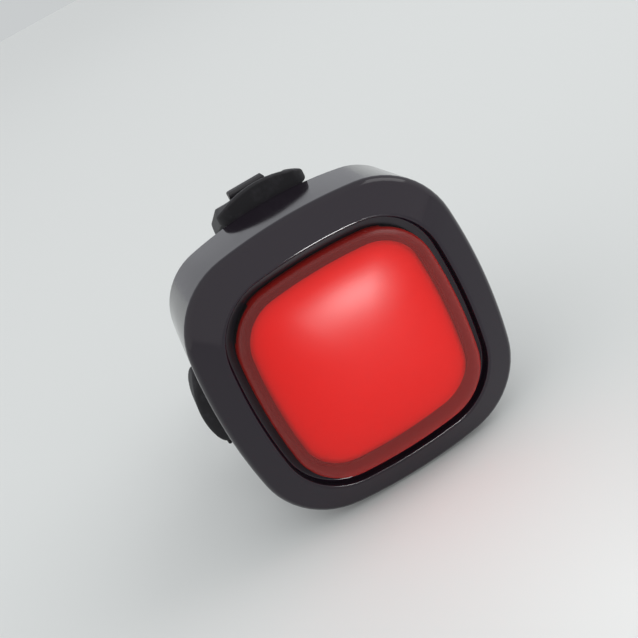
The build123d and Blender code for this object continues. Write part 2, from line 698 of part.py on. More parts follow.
def ring_sector(r_in, r_out, start, end):
    """A flat ring between two angles, measured from +Y towards +Z."""
    steps = []
    for a in (start, end):
        steps.append((cos(radians(a)), sin(radians(a))))
    mid = radians((start + end) / 2)
    outer = ThreePointArc(
        (r_out * steps[0][0], r_out * steps[0][1]),
        (r_out * cos(mid), r_out * sin(mid)),
        (r_out * steps[1][0], r_out * steps[1][1]),
    )
    inner = ThreePointArc(
        (r_in * steps[0][0], r_in * steps[0][1]),
        (r_in * cos(mid), r_in * sin(mid)),
        (r_in * steps[1][0], r_in * steps[1][1]),
    )
    ends = [Line(inner @ 0, outer @ 0), Line(inner @ 1, outer @ 1)]
    return make_face([outer, inner] + ends)


def make_saddle_pad():
    face = ring_sector(TUBE_R, PAD_R, 180 - PAD_HALF_ANGLE, 180 + PAD_HALF_ANGLE)
    for k in range(PAD_GROOVES):
        angle = 180 + PAD_HALF_ANGLE * (2 * k + 1 - PAD_GROOVES) / PAD_GROOVES
        face -= Rot(0, 0, angle) * Pos(TUBE_R, 0) * Rectangle(2 * PAD_GROOVE_D, PAD_GROOVE_W)
    return extrude(Plane.YZ * face, BASE_HALF_W, both=True)


def make_strap_pin():
    length = STRAP_W + 2 * (LUG_GAP + LUG_T)
    return Pos(0, PIN_Y, PIN_Z) * Rot(0, 90, 0) * Cylinder(PIN_R, length)


def tab_plane(y):
    """An upright plane across the hooked end, its origin on the top surface at depth y."""
    return Plane(origin=(STRAP_SHIFT, y, strap_top_z(y)), x_dir=(1, 0, 0), z_dir=(0, -1, 0))


def flex_end():
    """The strap's end face behind the hook: its top and bottom corners as (y, z)."""
    return Vector(TAB_FLEX_Y, TAB_FLEX_Z), Vector(TAB_FLEX_Y, TAB_FLEX_Z - TAB_TAIL_T)


def tab_section(half_w, t, arch):
    """A slice of the hooked end, its top at the plane's origin."""
    crown = ThreePointArc((half_w, -arch), (0, 0), (-half_w, -arch))
    rest = Polyline((-half_w, -arch), (-half_w, -t), (half_w, -t), (half_w, -arch))
    return make_face([crown] + rest.edges())


def tangent_angle(point, radius, side):
    """Angle of the point where a line from `point` touches a circle about the origin."""
    return degrees(atan2(point.Y, point.X)) + side * degrees(acos(radius / point.length))


def at_angle(radius, angle):
    return Vector(radius * cos(radians(angle)), radius * sin(radians(angle)))


def make_strap():
    top, bottom = flex_end()
    start = degrees(atan2(PIN_Z, PIN_Y)) + degrees(acos((STRAP_R - EYE_R) / hypot(PIN_Y, PIN_Z)))
    end = tangent_angle(top, STRAP_R, -1)
    face = ring_sector(TUBE_R, STRAP_R, start, end)
    pin = Vector(PIN_Y, PIN_Z)
    away = at_angle(1, start)
    lower = [
        pin + away * EYE_R,
        at_angle(STRAP_R, start),
        at_angle(TUBE_R, start),
        pin + away * (EYE_R - STRAP_T),
    ]
    face += make_face(Polyline(*[(p.X, p.Y) for p in lower], close=True))
    upper = [at_angle(TUBE_R, end), at_angle(STRAP_R, end), top, bottom]
    face += make_face(Polyline(*[(p.X, p.Y) for p in upper], close=True))
    face += Pos(PIN_Y, PIN_Z) * Circle(EYE_R)
    face -= Pos(PIN_Y, PIN_Z) * Circle(PIN_R + PIN_FIT)
    return Pos(STRAP_SHIFT, 0, 0) * extrude(Plane.YZ * face, STRAP_W / 2, both=True)


def make_strap_tab():
    half_w = TAB_NOSE_W / 2
    tail = tab_plane(TAB_FLEX_Y - FLEX_GAP) * tab_section(STRAP_W / 2, TAB_TAIL_T, TAB_TAIL_ARCH)
    brow = tab_plane(TAB_BROW_Y) * tab_section(half_w, TAB_BROW_T, TAB_NOSE_ARCH)
    edge = tab_plane(TAB_NOSE_Y + TAB_NOSE_BEVEL) * tab_section(half_w, TAB_NOSE_T, TAB_NOSE_ARCH)
    front = tab_section(half_w - TAB_NOSE_BEVEL, TAB_NOSE_T - 2 * TAB_NOSE_BEVEL, TAB_NOSE_ARCH)
    body = loft([tail, brow], ruled=True)
    body += loft([brow, edge], ruled=True)
    body += loft([edge, tab_plane(TAB_NOSE_Y) * Pos(0, -TAB_NOSE_BEVEL, 0) * front], ruled=True)
    length = TAB_FLEX_Y - TAB_NOSE_Y
    plan = Pos(STRAP_SHIFT, TAB_FLEX_Y) * RectangleRounded(TAB_NOSE_W, 2 * length, TAB_NOSE_CORNER_R)
    body &= extrude(plan, 2 * FACE_HALF_H)
    y0 = hook_front() - SLOT_FRONT
    y1 = hook_front() + HOOK_T + SLOT_BACK
    half = HOOK_W / 2 + SLOT_SIDE
    body -= block(HOOK_X - half, HOOK_X + half, y0, y1, 0, 2 * FACE_HALF_H)
    return body


def cover_shape():
    """The whole rubber cover, before it is parted at its bend line."""
    top = COVER_SEAT + COVER_PROUD
    body = extrude(cover_floor * Pos(COVER_SHIFT, 0) * pill(COVER_L, COVER_W), top)
    across = cover_floor * Pos(0, 0, top - COVER_CROWN_R) * Rot(90, 0, 0)
    crown = across * Cylinder(COVER_CROWN_R, 2 * COVER_W)
    body = body & crown
    outside = body.faces().filter_by(GeomType.CYLINDER).sort_by(Axis.X)[0]
    return fillet(outside.edges(), COVER_EDGE_R)


def cover_box(z0, z1, depth0, depth1):
    """A block in the cover's own frame, across its whole width."""
    frame = cover_floor * Pos((z0 + z1) / 2, 0, (depth0 + depth1) / 2)
    return frame * Box(z1 - z0, 2 * COVER_W, depth1 - depth0)


def make_port_cover():
    top = COVER_SEAT + COVER_PROUD
    body = cover_shape() & cover_box(-COVER_L, COVER_HINGE_Z - COVER_SPLIT, COVER_FLOOR_GAP, top + 1)
    plug_l = COVER_PLUG_TOP - COVER_PLUG_END
    plug = cover_floor * Pos((COVER_PLUG_TOP + COVER_PLUG_END) / 2, 0) * pill(plug_l, COVER_PLUG_W)
    body += extrude(plug, -COVER_PLUG_D) + extrude(plug, 1)
    end = COVER_SHIFT - COVER_L / 2
    lip_from, lip_to = end - COVER_LIP_L, end + COVER_W / 2
    lip = cover_floor * Pos((lip_from + lip_to) / 2, 0, COVER_SEAT + COVER_LIP_UP + COVER_LIP_T / 2)
    body += lip * Box(lip_to - lip_from, COVER_LIP_W, COVER_LIP_T)
    return body


def make_port_cover_root():
    top = COVER_SEAT + COVER_PROUD
    body = cover_shape() & cover_box(COVER_HINGE_Z, COVER_L, 0, top + 1)
    peg = cover_floor * Pos(COVER_HINGE_Z + ROOT_PEG_UP, 0) * Circle(ROOT_PEG_R)
    return body + extrude(peg, -WALL) + extrude(peg, 1)


makers = {
    "front_shell": make_front_shell,
    "lens": make_lens,
    "lens_seal": make_lens_seal,
    "diffuser": make_diffuser,
    "light_tray": make_light_tray,
    "leds": make_leds,
    "circuit_board": make_circuit_board,
    "control_chips": make_control_chips,
    "chip_resistors": make_chip_resistors,
    "board_screws": make_board_screws,
    "tactile_switch": make_tactile_switch,
    "power_button": make_power_button,
    "usb_socket": make_usb_socket,
    "usb_tongue": make_usb_tongue,
    "battery_connector": make_battery_connector,
    "battery_cell": make_battery_cell,
    "battery_tape": make_battery_tape,
    "battery_wire_red": lambda: make_battery_wire(WIRE_X[0]),
    "battery_wire_black": lambda: make_battery_wire(WIRE_X[1]),
    "rear_cover": make_rear_cover,
    "cover_gasket": make_cover_gasket,
    "case_screws": make_case_screws,
    "mount_base": make_mount_base,
    "mount_screws": make_mount_screws,
    "saddle_pad": make_saddle_pad,
    "strap_pin": make_strap_pin,
    "strap": make_strap,
    "strap_tab": make_strap_tab,
    "port_cover": make_port_cover,
    "port_cover_root": make_port_cover_root,
}

os.makedirs("parts", exist_ok=True)
for name, make in makers.items():
    shape = make()
    if isinstance(shape, list):
        shape = Compound(children=shape)
    export_step(shape, f"parts/{name}.step")
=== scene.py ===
"""Strap-on rear bike light: its casing, lens, strap and fittings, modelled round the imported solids.

Row frame: +X along the post, +Y from the lit face back to the post, +Z towards the strap's hook.
Shapes are drawn in millimetres and scaled to metres when a piece is finished.
"""

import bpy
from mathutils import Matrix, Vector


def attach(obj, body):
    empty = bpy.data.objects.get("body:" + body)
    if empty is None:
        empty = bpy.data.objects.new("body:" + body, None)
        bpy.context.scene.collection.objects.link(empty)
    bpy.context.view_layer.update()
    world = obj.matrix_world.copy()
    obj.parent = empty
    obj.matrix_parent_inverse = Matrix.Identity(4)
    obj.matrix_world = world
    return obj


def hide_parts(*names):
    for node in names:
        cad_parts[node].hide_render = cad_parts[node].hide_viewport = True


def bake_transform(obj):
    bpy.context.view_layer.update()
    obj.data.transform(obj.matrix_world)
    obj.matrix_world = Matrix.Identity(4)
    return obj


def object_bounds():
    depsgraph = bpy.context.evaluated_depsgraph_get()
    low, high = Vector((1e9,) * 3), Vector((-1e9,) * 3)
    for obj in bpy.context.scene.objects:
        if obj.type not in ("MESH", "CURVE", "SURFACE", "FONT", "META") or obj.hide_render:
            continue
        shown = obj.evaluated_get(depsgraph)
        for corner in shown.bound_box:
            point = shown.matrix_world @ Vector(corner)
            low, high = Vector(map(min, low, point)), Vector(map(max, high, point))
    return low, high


bl_info = {
    "name": "Strap-on rear light",
    "version": (1, 0, 0),
    "blender": (4, 5, 0),
    "location": "View3D > Sidebar > Rear light",
    "description": "Builds the parts and finishes of a strap-on rear bike light",
    "category": "Object",
}

from math import acos, atan2, cos, degrees, hypot, pi, radians, sin, sqrt

import bmesh
import bpy
from bpy.props import FloatProperty, FloatVectorProperty, PointerProperty
from mathutils import Matrix, Vector

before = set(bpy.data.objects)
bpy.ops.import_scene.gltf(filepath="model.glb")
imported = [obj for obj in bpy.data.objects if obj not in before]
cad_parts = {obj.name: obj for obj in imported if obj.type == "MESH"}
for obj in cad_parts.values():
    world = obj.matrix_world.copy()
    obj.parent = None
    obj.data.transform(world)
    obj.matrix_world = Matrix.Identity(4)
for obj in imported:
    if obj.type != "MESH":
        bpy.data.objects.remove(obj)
CAD_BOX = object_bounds()

MM = 0.001

# Places and sizes in millimetres, and angles in degrees. Most are those of the solids
POST_R = 13.6
FACE_Y = -49.0
REAR_Y = -30.6
FACE_BOW_R = 84.0
FACE_CORNER_R = 13.5
REAR_BOW_R = 70.0
REAR_CORNER_R = 10.5
WALL = 1.8
BEZEL_W = 5.15
LIP_W = 0.45
LIP_BOW_R = 77.5
LIP_CORNER_R = 10.7
MOAT_W = 1.5
MOAT_DEPTH = 1.8
LEDGE_INSET = 1.2
CAVITY_Y = -47.2
LENS_WALL = 1.5
MASK_RING = 2
SEAL_T = 0.4
DIFFUSER_INSET = 1.75
DIFFUSER_BACK_Y = -47.3
DIFFUSER_FRONT_Y = -49.9
DIFFUSER_CROWN = 2.2
PORT_Y = -38.5
COVER_SEAT = 0.8
COVER_L = 14.0
COVER_SHIFT = 0.75
COVER_W = 7.0
COVER_PROUD = 2.3
COVER_CROWN_R = 13.5
COVER_FIT = 0.25
COVER_HINGE_Z = 5.0
COVER_LIP = (-0.3, 3.5)
COVER_LIP_HALF_W = 1.75
COVER_LIP_RISE = (0.2, 0.9)
COVER_PLUG = (7.3, 2.6, 1.6)
COVER_PLUG_PLACE = (-0.25, 0, -1.0)
PORT_SLOT = (9.6, 3.8)
THROUGH = 4.0
BUTTON = (9.0, 5.0)
BUTTON_PROUD = 1.0
BUTTON_SUNK = 2.3
BUTTON_RIDGE = 0.25
RIDGE = (4.0, 1.4)
RIDGE_ROOT = 0.1
FLANGE_OUT = 1.6
FLANGE_T = 0.8
PIN_Y = -24.0
PIN_Z = -19.2
PIN_R = 1.25
PIN_L = 19.6
PIN_FIT = 0.05
EYE_R = 3.0
EYE_FIT = 0.1
EYE_WRAP = 285
PAD_R = 16.0
PAD_HALF_ANGLE = 48.0
GROOVES = 4
GROOVE_FOOT = 2.1
GROOVE_EDGE = 2.3
GROOVE_DEPTH = 0.5
BASE_HALF_W = 10.0
PLATE_T = 3
PLATE_HALF_H = 20.5
PLATE_CORNER_R = 3.0
BLOCK_HALF_H = (15, 13.5)
BLOCK_REAR_Y = -10.5
LUG_X = 8.1
LUG_T = 1.8
LUG_FOOT = 4.0
STRAP_SHIFT = 0.7
HOOK_X = -0.2
HOOK_W = 6.8
HOOK_Y = (-24.6, -23.0)
HOOK_HEAD_T = 0.8
HOOK_LIP = 0.6
HOOK_ROOT_Z = 13
SLOT_GAP_X = 0.4
SLOT_GAP_Y = (1.35, 1.4)
SLOT_CORNER_R = 0.7
NOSE = Vector((-29.9, 26.3))
NOSE_T = 4.2
BROW = Vector((-28.0, 26.0))
BROW_T = 3.7
NOSE_ROUND = 0.5
NOSE_ARCH = 2.0
NOSE_GROWTH = 2.0
NOSE_CORNER_R = 2.2
FLEX = Vector((-19.3, 23.1))
TAIL_T = 2.6
SCREW_X = 13.9
SCREW_Z = 14.6
SCREW_HEAD = (2.0, 1.3)
SCREW_POCKET = (2.2, 1.4)
SCREW_CROSS = (1.1, 0.3, 0.7)

# The photo's camera, in metres and millimetres of lens
CAMERA_PLACE = (-0.0186, -0.1878, 0.065)
CAMERA_RIGHT = (0.8515, -0.2789, -0.4439)
CAMERA_UP = (0.5139, 0.2761, 0.8122)
FOCAL_LENGTH = 56.43

SIDE_STEPS = 7
CORNER_STEPS = 12


def linear(code):
    """Turns an sRGB hex colour into linear red, green and blue."""
    channels = [int(code[k : k + 2], 16) / 255 for k in (1, 3, 5)]
    return tuple(c / 12.92 if c <= 0.04045 else ((c + 0.055) / 1.055) ** 2.4 for c in channels)


class CaseSizes(bpy.types.PropertyGroup):
    """Sizes of the casing."""

    face_width: FloatProperty(
        name="Face width", description="Width of the case at the bezel's edge", default=0.0475, unit="LENGTH"
    )
    face_height: FloatProperty(
        name="Face height", description="Height of the case at the bezel's edge", default=0.0486,
        unit="LENGTH",
    )
    side_lean: FloatProperty(
        name="Side lean", description="How far each side wall leans in towards the rear", default=0.00025,
        unit="LENGTH",
    )
    end_lean: FloatProperty(
        name="End lean", description="How far the top and bottom walls lean in towards the rear",
        default=0.0013, unit="LENGTH",
    )
    edge_round: FloatProperty(
        name="Edge rounding", description="Rounding between wall and bezel", default=0.0011, unit="LENGTH"
    )
    lip_rise: FloatProperty(
        name="Lip rise", description="Height of the lip above the bezel's edge", default=0.0024, unit="LENGTH"
    )


class LensSizes(bpy.types.PropertyGroup):
    """Sizes of the lens."""

    crown: FloatProperty(
        name="Crown", description="Rise of the lens above the lip", default=0.0036, unit="LENGTH"
    )
    shoulder: FloatProperty(
        name="Shoulder", description="Power of the dome's curve, squarer when higher", default=2.6,
        min=1.2, max=6.0,
    )


class StrapSizes(bpy.types.PropertyGroup):
    """Sizes of the strap."""

    width: FloatProperty(name="Width", description="Width of the strap", default=0.0144, unit="LENGTH")
    thickness: FloatProperty(
        name="Thickness", description="Thickness of the band", default=0.0024, unit="LENGTH"
    )


class LightColours(bpy.types.PropertyGroup):
    """Colours of the visible materials."""

    casing: FloatVectorProperty(
        name="Casing", description="Moulded case and bezel", subtype="COLOR", default=linear("#170f1a")
    )
    lens: FloatVectorProperty(
        name="Lens", description="Red of the lens", subtype="COLOR", default=linear("#e8332c")
    )
    rubber: FloatVectorProperty(
        name="Rubber", description="Strap, port cover and button", subtype="COLOR", default=linear("#1c1b1f")
    )
    bracket: FloatVectorProperty(
        name="Bracket", description="Mount base and hook", subtype="COLOR", default=linear("#222125")
    )
    floor: FloatVectorProperty(
        name="Floor", description="Studio floor", subtype="COLOR", default=linear("#dfe2e1")
    )


GROUPS = {"case": CaseSizes, "lens": LensSizes, "strap": StrapSizes, "colours": LightColours}


def sizes(name):
    """The property group of that name on the scene."""
    return getattr(bpy.context.scene, "rear_light_" + name)


# Outlines


def case_size(y, inset=0.0):
    """Half width, half height, bow radius and corner radius of the case at depth y."""
    s = sizes("case")
    share = (y - FACE_Y) / (REAR_Y - FACE_Y)
    return (
        (s.face_width / 2 - s.side_lean * share) / MM - inset,
        (s.face_height / 2 - s.end_lean * share) / MM - inset,
        FACE_BOW_R + (REAR_BOW_R - FACE_BOW_R) * share - inset,
        FACE_CORNER_R + (REAR_CORNER_R - FACE_CORNER_R) * share - inset,
    )


def lip_size(outset=0.0):
    """The same for the inner edge of the bezel's lip, grown by a distance."""
    s = sizes("case")
    half_w = s.face_width / MM / 2 - BEZEL_W
    half_h = s.face_height / MM / 2 - BEZEL_W
    return half_w + outset, half_h + outset, LIP_BOW_R + outset, LIP_CORNER_R + outset


def lens_size(inset=0.0):
    """The same for the lens, inset by a distance."""
    return tuple(value - MOAT_W - inset for value in lip_size())


def new_edges(bm, before):
    """Edges that weren't in a set noted earlier."""
    return [e for e in bm.edges if e not in before]


def edges_past(bm, axis, level):
    """Edges that lie wholly past a level on one axis."""
    return [e for e in bm.edges if all(getattr(v.co, axis) > level for v in e.verts)]


def run_along(edge, axis):
    """How far an edge reaches along one axis."""
    a, b = edge.verts
    return abs(getattr(a.co, axis) - getattr(b.co, axis))


def vertices_of(made):
    """The vertices among what an extrusion made."""
    return [v for v in made["geom"] if isinstance(v, bmesh.types.BMVert)]


def add_ring(bm, size, y):
    """Draws one closed bowed square at depth y and returns its edges."""
    half_w, half_h, bow_r, corner_r = size
    top = Vector((0, half_h - bow_r))
    side = Vector((half_w - bow_r, 0))
    reach = bow_r - corner_r
    across = Vector((-top.y, -side.x)).normalized()
    corner = (top + side) / 2 + across * sqrt(reach**2 - (top - side).length_squared / 4)
    side_turn = atan2(corner.y - side.y, corner.x - side.x)
    top_turn = atan2(corner.x - top.x, corner.y - top.y)
    before = set(bm.edges)
    last = bm.verts.new((half_w, y, 0))
    arcs = (
        (side, side_turn, SIDE_STEPS),
        (corner, pi / 2 - side_turn - top_turn, CORNER_STEPS),
        (top, top_turn, SIDE_STEPS),
    )
    for centre, turn, steps in arcs:
        made = bmesh.ops.spin(
            bm, geom=[last], cent=(centre.x, y, centre.y), axis=(0, -1, 0), angle=turn, steps=steps
        )
        last = [v for v in made["geom_last"] if isinstance(v, bmesh.types.BMVert)][0]
    for axis in ("X", "Z"):
        edges = new_edges(bm, before)
        corners = list({v for e in edges for v in e.verts})
        bmesh.ops.mirror(bm, geom=corners + edges, merge_dist=0.001, axis=axis)
    return new_edges(bm, before)


def soften(bm, edges, width, steps=3):
    """Rounds edges by a width."""
    made = bmesh.ops.bevel(
        bm, geom=edges, offset=width, offset_type="OFFSET", segments=steps, profile=0.5, affect="EDGES",
        material=-1,
    )
    return made["faces"]


def shell_from(sections, closed=False):
    """Bridges a row of rings into a skin. Each section is a size, a depth, and a rounding."""
    bm = bmesh.new()
    rings = [add_ring(bm, size, y) for size, y, _ in sections]
    pairs = list(zip(rings, rings[1:]))
    if closed:
        pairs.append((rings[-1], rings[0]))
    for a, b in pairs:
        bmesh.ops.bridge_loops(bm, edges=a + b)
    for edges, (_, _, width) in zip(rings, sections):
        if width:
            soften(bm, edges, width, 5 if width > 0.6 else 3)
    return bm, rings


def cap(bm, edges):
    """Closes a ring with one face and returns it."""
    return bmesh.ops.edgenet_fill(bm, edges=edges)["faces"]


def pill(length, width, rise, steps=32):
    """A stadium-shaped plug along local X, from z 0 up to a height."""
    bm = bmesh.new()
    bmesh.ops.create_circle(bm, cap_ends=True, radius=width / 2, segments=steps)
    bmesh.ops.rotate(bm, cent=(0, 0, 0), matrix=Matrix.Rotation(pi / steps, 3, "Z"), verts=bm.verts)
    for side in (-1, 1):
        half = [v for v in bm.verts if v.co.x * side > 0]
        bmesh.ops.translate(bm, vec=(side * (length - width) / 2, 0, 0), verts=half)
    made = bmesh.ops.extrude_face_region(bm, geom=list(bm.faces))
    bmesh.ops.translate(bm, vec=(0, 0, rise), verts=vertices_of(made))
    bmesh.ops.recalc_face_normals(bm, faces=bm.faces)
    return bm


def slab(x0, x1, y0, y1, z0, z1):
    """A block between two corners."""
    bm = bmesh.new()
    bmesh.ops.create_cube(bm, size=1)
    bmesh.ops.scale(bm, vec=(x1 - x0, y1 - y0, z1 - z0), verts=bm.verts)
    bmesh.ops.translate(bm, vec=((x0 + x1) / 2, (y0 + y1) / 2, (z0 + z1) / 2), verts=bm.verts)
    return bm


def drum(r, y0, y1, x=0.0, z=0.0, steps=32):
    """A round bar along Y."""
    bm = bmesh.new()
    bmesh.ops.create_cone(
        bm, cap_ends=True, radius1=r, radius2=r, depth=y1 - y0, segments=steps,
        matrix=Matrix.Translation((x, (y0 + y1) / 2, z)) @ Matrix.Rotation(pi / 2, 4, "X"),
    )
    return bm


def crossbar(r, length, y=0.0, z=0.0, steps=24):
    """A round bar along X, centred on the light."""
    bm = bmesh.new()
    bmesh.ops.create_cone(
        bm, cap_ends=True, radius1=r, radius2=r, depth=length, segments=steps,
        matrix=Matrix.Translation((0, y, z)) @ Matrix.Rotation(pi / 2, 4, "Y"),
    )
    return bm


def prism(points, half_w):
    """A block across the light from an outline of (y, z) points."""
    bm = bmesh.new()
    corners = [bm.verts.new((-half_w, y, z)) for y, z in points]
    made = bmesh.ops.extrude_face_region(bm, geom=[bm.faces.new(corners)])
    bmesh.ops.translate(bm, vec=(2 * half_w, 0, 0), verts=vertices_of(made))
    bmesh.ops.recalc_face_normals(bm, faces=bm.faces)
    return bm


def sweep(bm, places):
    """Carries the open section in a bmesh through a row of places.

    Returns the edges at both ends and the vertices drawn at each place.
    """
    section = first = list(bm.edges)
    bmesh.ops.transform(bm, matrix=places[0], verts=list(bm.verts))
    drawn = [list(bm.verts)]
    for at, to in zip(places, places[1:]):
        made = bmesh.ops.extrude_edge_only(bm, edges=section)
        verts = vertices_of(made)
        fresh = set(verts)
        section = [e for e in made["geom"] if isinstance(e, bmesh.types.BMEdge) and set(e.verts) <= fresh]
        bmesh.ops.transform(bm, matrix=to @ at.inverted(), verts=verts)
        drawn.append(verts)
    return first, section, drawn


def join(target, *others):
    """Adds closed shapes to a bmesh as they are."""
    for other in others:
        mesh = bpy.data.meshes.new("joined")
        other.to_mesh(mesh)
        other.free()
        target.from_mesh(mesh)
        bpy.data.meshes.remove(mesh)
    return target


def carve(bm, tool, operation="DIFFERENCE"):
    """Cuts, or adds, one closed shape with the Boolean modifier and returns the result."""
    holders = []
    for source in (bm, tool):
        mesh = bpy.data.meshes.new("carving")
        source.to_mesh(mesh)
        source.free()
        holders.append(bpy.data.objects.new("carving", mesh))
        bpy.context.scene.collection.objects.link(holders[-1])
    cut = holders[0].modifiers.new("cut", "BOOLEAN")
    cut.operation = operation
    cut.solver = "EXACT"
    cut.object = holders[1]
    result = bmesh.new()
    result.from_object(holders[0], bpy.context.evaluated_depsgraph_get())
    for holder in holders:
        mesh = holder.data
        bpy.data.objects.remove(holder)
        bpy.data.meshes.remove(mesh)
    bmesh.ops.remove_doubles(result, verts=result.verts, dist=0.002)
    return result


def side_frame(sign, y, sink=0.0):
    """Frame on a side wall: local Z out of the wall, local X along the light's height."""
    s = sizes("case")
    half = case_size(y)[0] - sink
    lean = atan2(s.side_lean / MM, REAR_Y - FACE_Y)
    out = Vector((sign * cos(lean), sin(lean), 0))
    along = Vector((0, 0, 1))
    across = out.cross(along)
    turn = Matrix((along, across, out)).transposed().to_4x4()
    return Matrix.Translation((sign * half, y, 0)) @ turn


def placed(bm, matrix):
    """Moves a shape to a place and returns it."""
    bmesh.ops.transform(bm, matrix=matrix, verts=bm.verts)
    return bm


def finished(bm, name, body, materials, replaces=(), sharp=32, weighted=True):
    """Turns a drawn shape into a piece in metres that rides on a body."""
    bmesh.ops.scale(bm, vec=(MM, MM, MM), verts=bm.verts)
    mesh = bpy.data.meshes.new(name)
    bm.to_mesh(mesh)
    bm.free()
    mesh.shade_smooth()
    mesh.set_sharp_from_angle(angle=radians(sharp))
    obj = bpy.data.objects.new(name, mesh)
    bpy.context.scene.collection.objects.link(obj)
    for material in materials:
        mesh.materials.append(material)
    if weighted:
        normals = obj.modifiers.new("even shading", "WEIGHTED_NORMAL")
        normals.keep_sharp = True
    if body:
        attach(obj, body)
    if replaces:
        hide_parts(*replaces)
    return obj


# Materials


def add(tree, kind, inputs=None, **settings):
    """Adds a node, sets its properties, and fills each named socket with a value or a link."""
    made = tree.nodes.new(kind)
    for key, value in settings.items():
        setattr(made, key, value)
    for key, value in (inputs or {}).items():
        if isinstance(value, bpy.types.NodeSocket):
            tree.links.new(value, made.inputs[key])
        else:
            made.inputs[key].default_value = value
    return made


def per_mm(size):
    """Texture scale whose features are about this many millimetres across, on coordinates in metres."""
    return 1 / (size * MM)


def blank(name):
    """A new material with an empty tree, and its Object coordinates."""
    material = bpy.data.materials.new(name)
    material.use_nodes = True
    material.node_tree.nodes.clear()
    return material, material.node_tree, add(material.node_tree, "ShaderNodeTexCoord").outputs["Object"]


def output(tree, shader):
    """Ends a material's tree with its shader."""
    add(tree, "ShaderNodeOutputMaterial", {"Surface": shader})


def shade(code):
    """An sRGB hex colour as a node's linear colour."""
    return (*linear(code), 1.0)


def plastic(name, colour, low, high, grain, depth, ior=1.5):
    """Moulded plastic: roughness that drifts between two values, and a fine grain."""
    material, tree, place = blank(name)
    drift = add(tree, "ShaderNodeTexNoise", {"Vector": place, "Scale": per_mm(9), "Detail": 3})
    rough = add(tree, "ShaderNodeMapRange", {
        "Value": drift.outputs["Fac"], "From Min": 0.35, "From Max": 0.65, "To Min": low, "To Max": high,
    })
    fine = add(tree, "ShaderNodeTexNoise", {"Vector": place, "Scale": per_mm(grain), "Detail": 2})
    bump = add(tree, "ShaderNodeBump", {
        "Height": fine.outputs["Fac"], "Strength": 0.4, "Distance": depth * MM,
    })
    skin = add(tree, "ShaderNodeBsdfPrincipled", {
        "Base Color": (*colour, 1.0), "Roughness": rough.outputs[0], "Normal": bump.outputs["Normal"],
        "IOR": ior,
    })
    output(tree, skin.outputs[0])
    return material


def case_abs():
    # Black ABS from a polished mould: a soft-edged mirror over a nearly black body
    return plastic("glossy moulded ABS", sizes("colours").casing, 0.08, 0.15, 0.5, 0.002, 1.46)


def bracket_nylon():
    # Glass-filled nylon from a spark-eroded mould: dull, with an even fine grain
    return plastic("grained moulded nylon", sizes("colours").bracket, 0.42, 0.55, 0.35, 0.012)


def silicone(name="moulded silicone rubber"):
    # Silicone rubber: matt, faintly dusty, softer at glancing angles
    material, tree, place = blank(name)
    colour = sizes("colours").rubber
    dust = add(tree, "ShaderNodeTexNoise", {
        "Vector": place, "Scale": per_mm(2.2), "Detail": 5, "Roughness": 0.65,
    })
    where = add(tree, "ShaderNodeMapRange", {
        "Value": dust.outputs["Fac"], "From Min": 0.5, "From Max": 0.72, "To Min": 0.0, "To Max": 0.35,
    })
    tone = add(tree, "ShaderNodeMix", {
        0: where.outputs[0], 6: (*colour, 1.0), 7: shade("#424046"),
    }, data_type="RGBA")
    fine = add(tree, "ShaderNodeTexNoise", {"Vector": place, "Scale": per_mm(0.3), "Detail": 2})
    bump = add(tree, "ShaderNodeBump", {
        "Height": fine.outputs["Fac"], "Strength": 0.5, "Distance": 0.015 * MM,
    })
    skin = add(tree, "ShaderNodeBsdfPrincipled", {
        "Base Color": tone.outputs[2], "Roughness": 0.62, "Normal": bump.outputs["Normal"], "IOR": 1.42,
    })
    output(tree, skin.outputs[0])
    return material


def lens_acrylic():
    # Red acrylic with a satin outside: it tints what lies behind it, hazes over at glancing angles
    # and spreads the lamp into a wide soft highlight
    material, tree, place = blank("satin red acrylic")
    fine = add(tree, "ShaderNodeTexNoise", {"Vector": place, "Scale": per_mm(0.35), "Detail": 2})
    bump = add(tree, "ShaderNodeBump", {
        "Height": fine.outputs["Fac"], "Strength": 0.35, "Distance": 0.01 * MM,
    })
    glance = add(tree, "ShaderNodeLayerWeight", {"Blend": 0.25})
    haze = add(tree, "ShaderNodeMapRange", {
        "Value": glance.outputs["Facing"], "To Min": 0.13, "To Max": 0.55,
    })
    clear = add(tree, "ShaderNodeBsdfTransparent", {"Color": (0.8, 0.042, 0.028, 1.0)})
    skin = add(tree, "ShaderNodeBsdfPrincipled", {
        "Base Color": (*sizes("colours").lens, 1.0), "Roughness": 0.31, "IOR": 2.4,
        "Normal": bump.outputs["Normal"],
    })
    both = add(tree, "ShaderNodeMixShader", {
        0: haze.outputs[0], 1: clear.outputs[0], 2: skin.outputs[0],
    })
    output(tree, both.outputs[0])
    return material


def lens_bore():
    # The polished inside of the lens: the outside already carries the tint, so this only lets light by
    material, tree, place = blank("polished lens bore")
    swirl = add(tree, "ShaderNodeTexNoise", {"Vector": place, "Scale": per_mm(6), "Detail": 1})
    value = add(tree, "ShaderNodeMapRange", {"Value": swirl.outputs["Fac"], "To Min": 0.985, "To Max": 1.0})
    clear = add(tree, "ShaderNodeBsdfTransparent", {"Color": value.outputs[0]})
    output(tree, clear.outputs[0])
    return material


def opal(name, code):
    # Opal polycarbonate: milky and even
    material, tree, place = blank(name)
    cloud = add(tree, "ShaderNodeTexNoise", {"Vector": place, "Scale": per_mm(7), "Detail": 2})
    amount = add(tree, "ShaderNodeMapRange", {"Value": cloud.outputs["Fac"], "To Min": 0.0, "To Max": 0.12})
    tone = add(tree, "ShaderNodeMix", {
        0: amount.outputs[0], 6: shade(code), 7: shade("#e2ded8"),
    }, data_type="RGBA")
    skin = add(tree, "ShaderNodeBsdfPrincipled", {"Base Color": tone.outputs[2], "Roughness": 0.5})
    output(tree, skin.outputs[0])
    return material


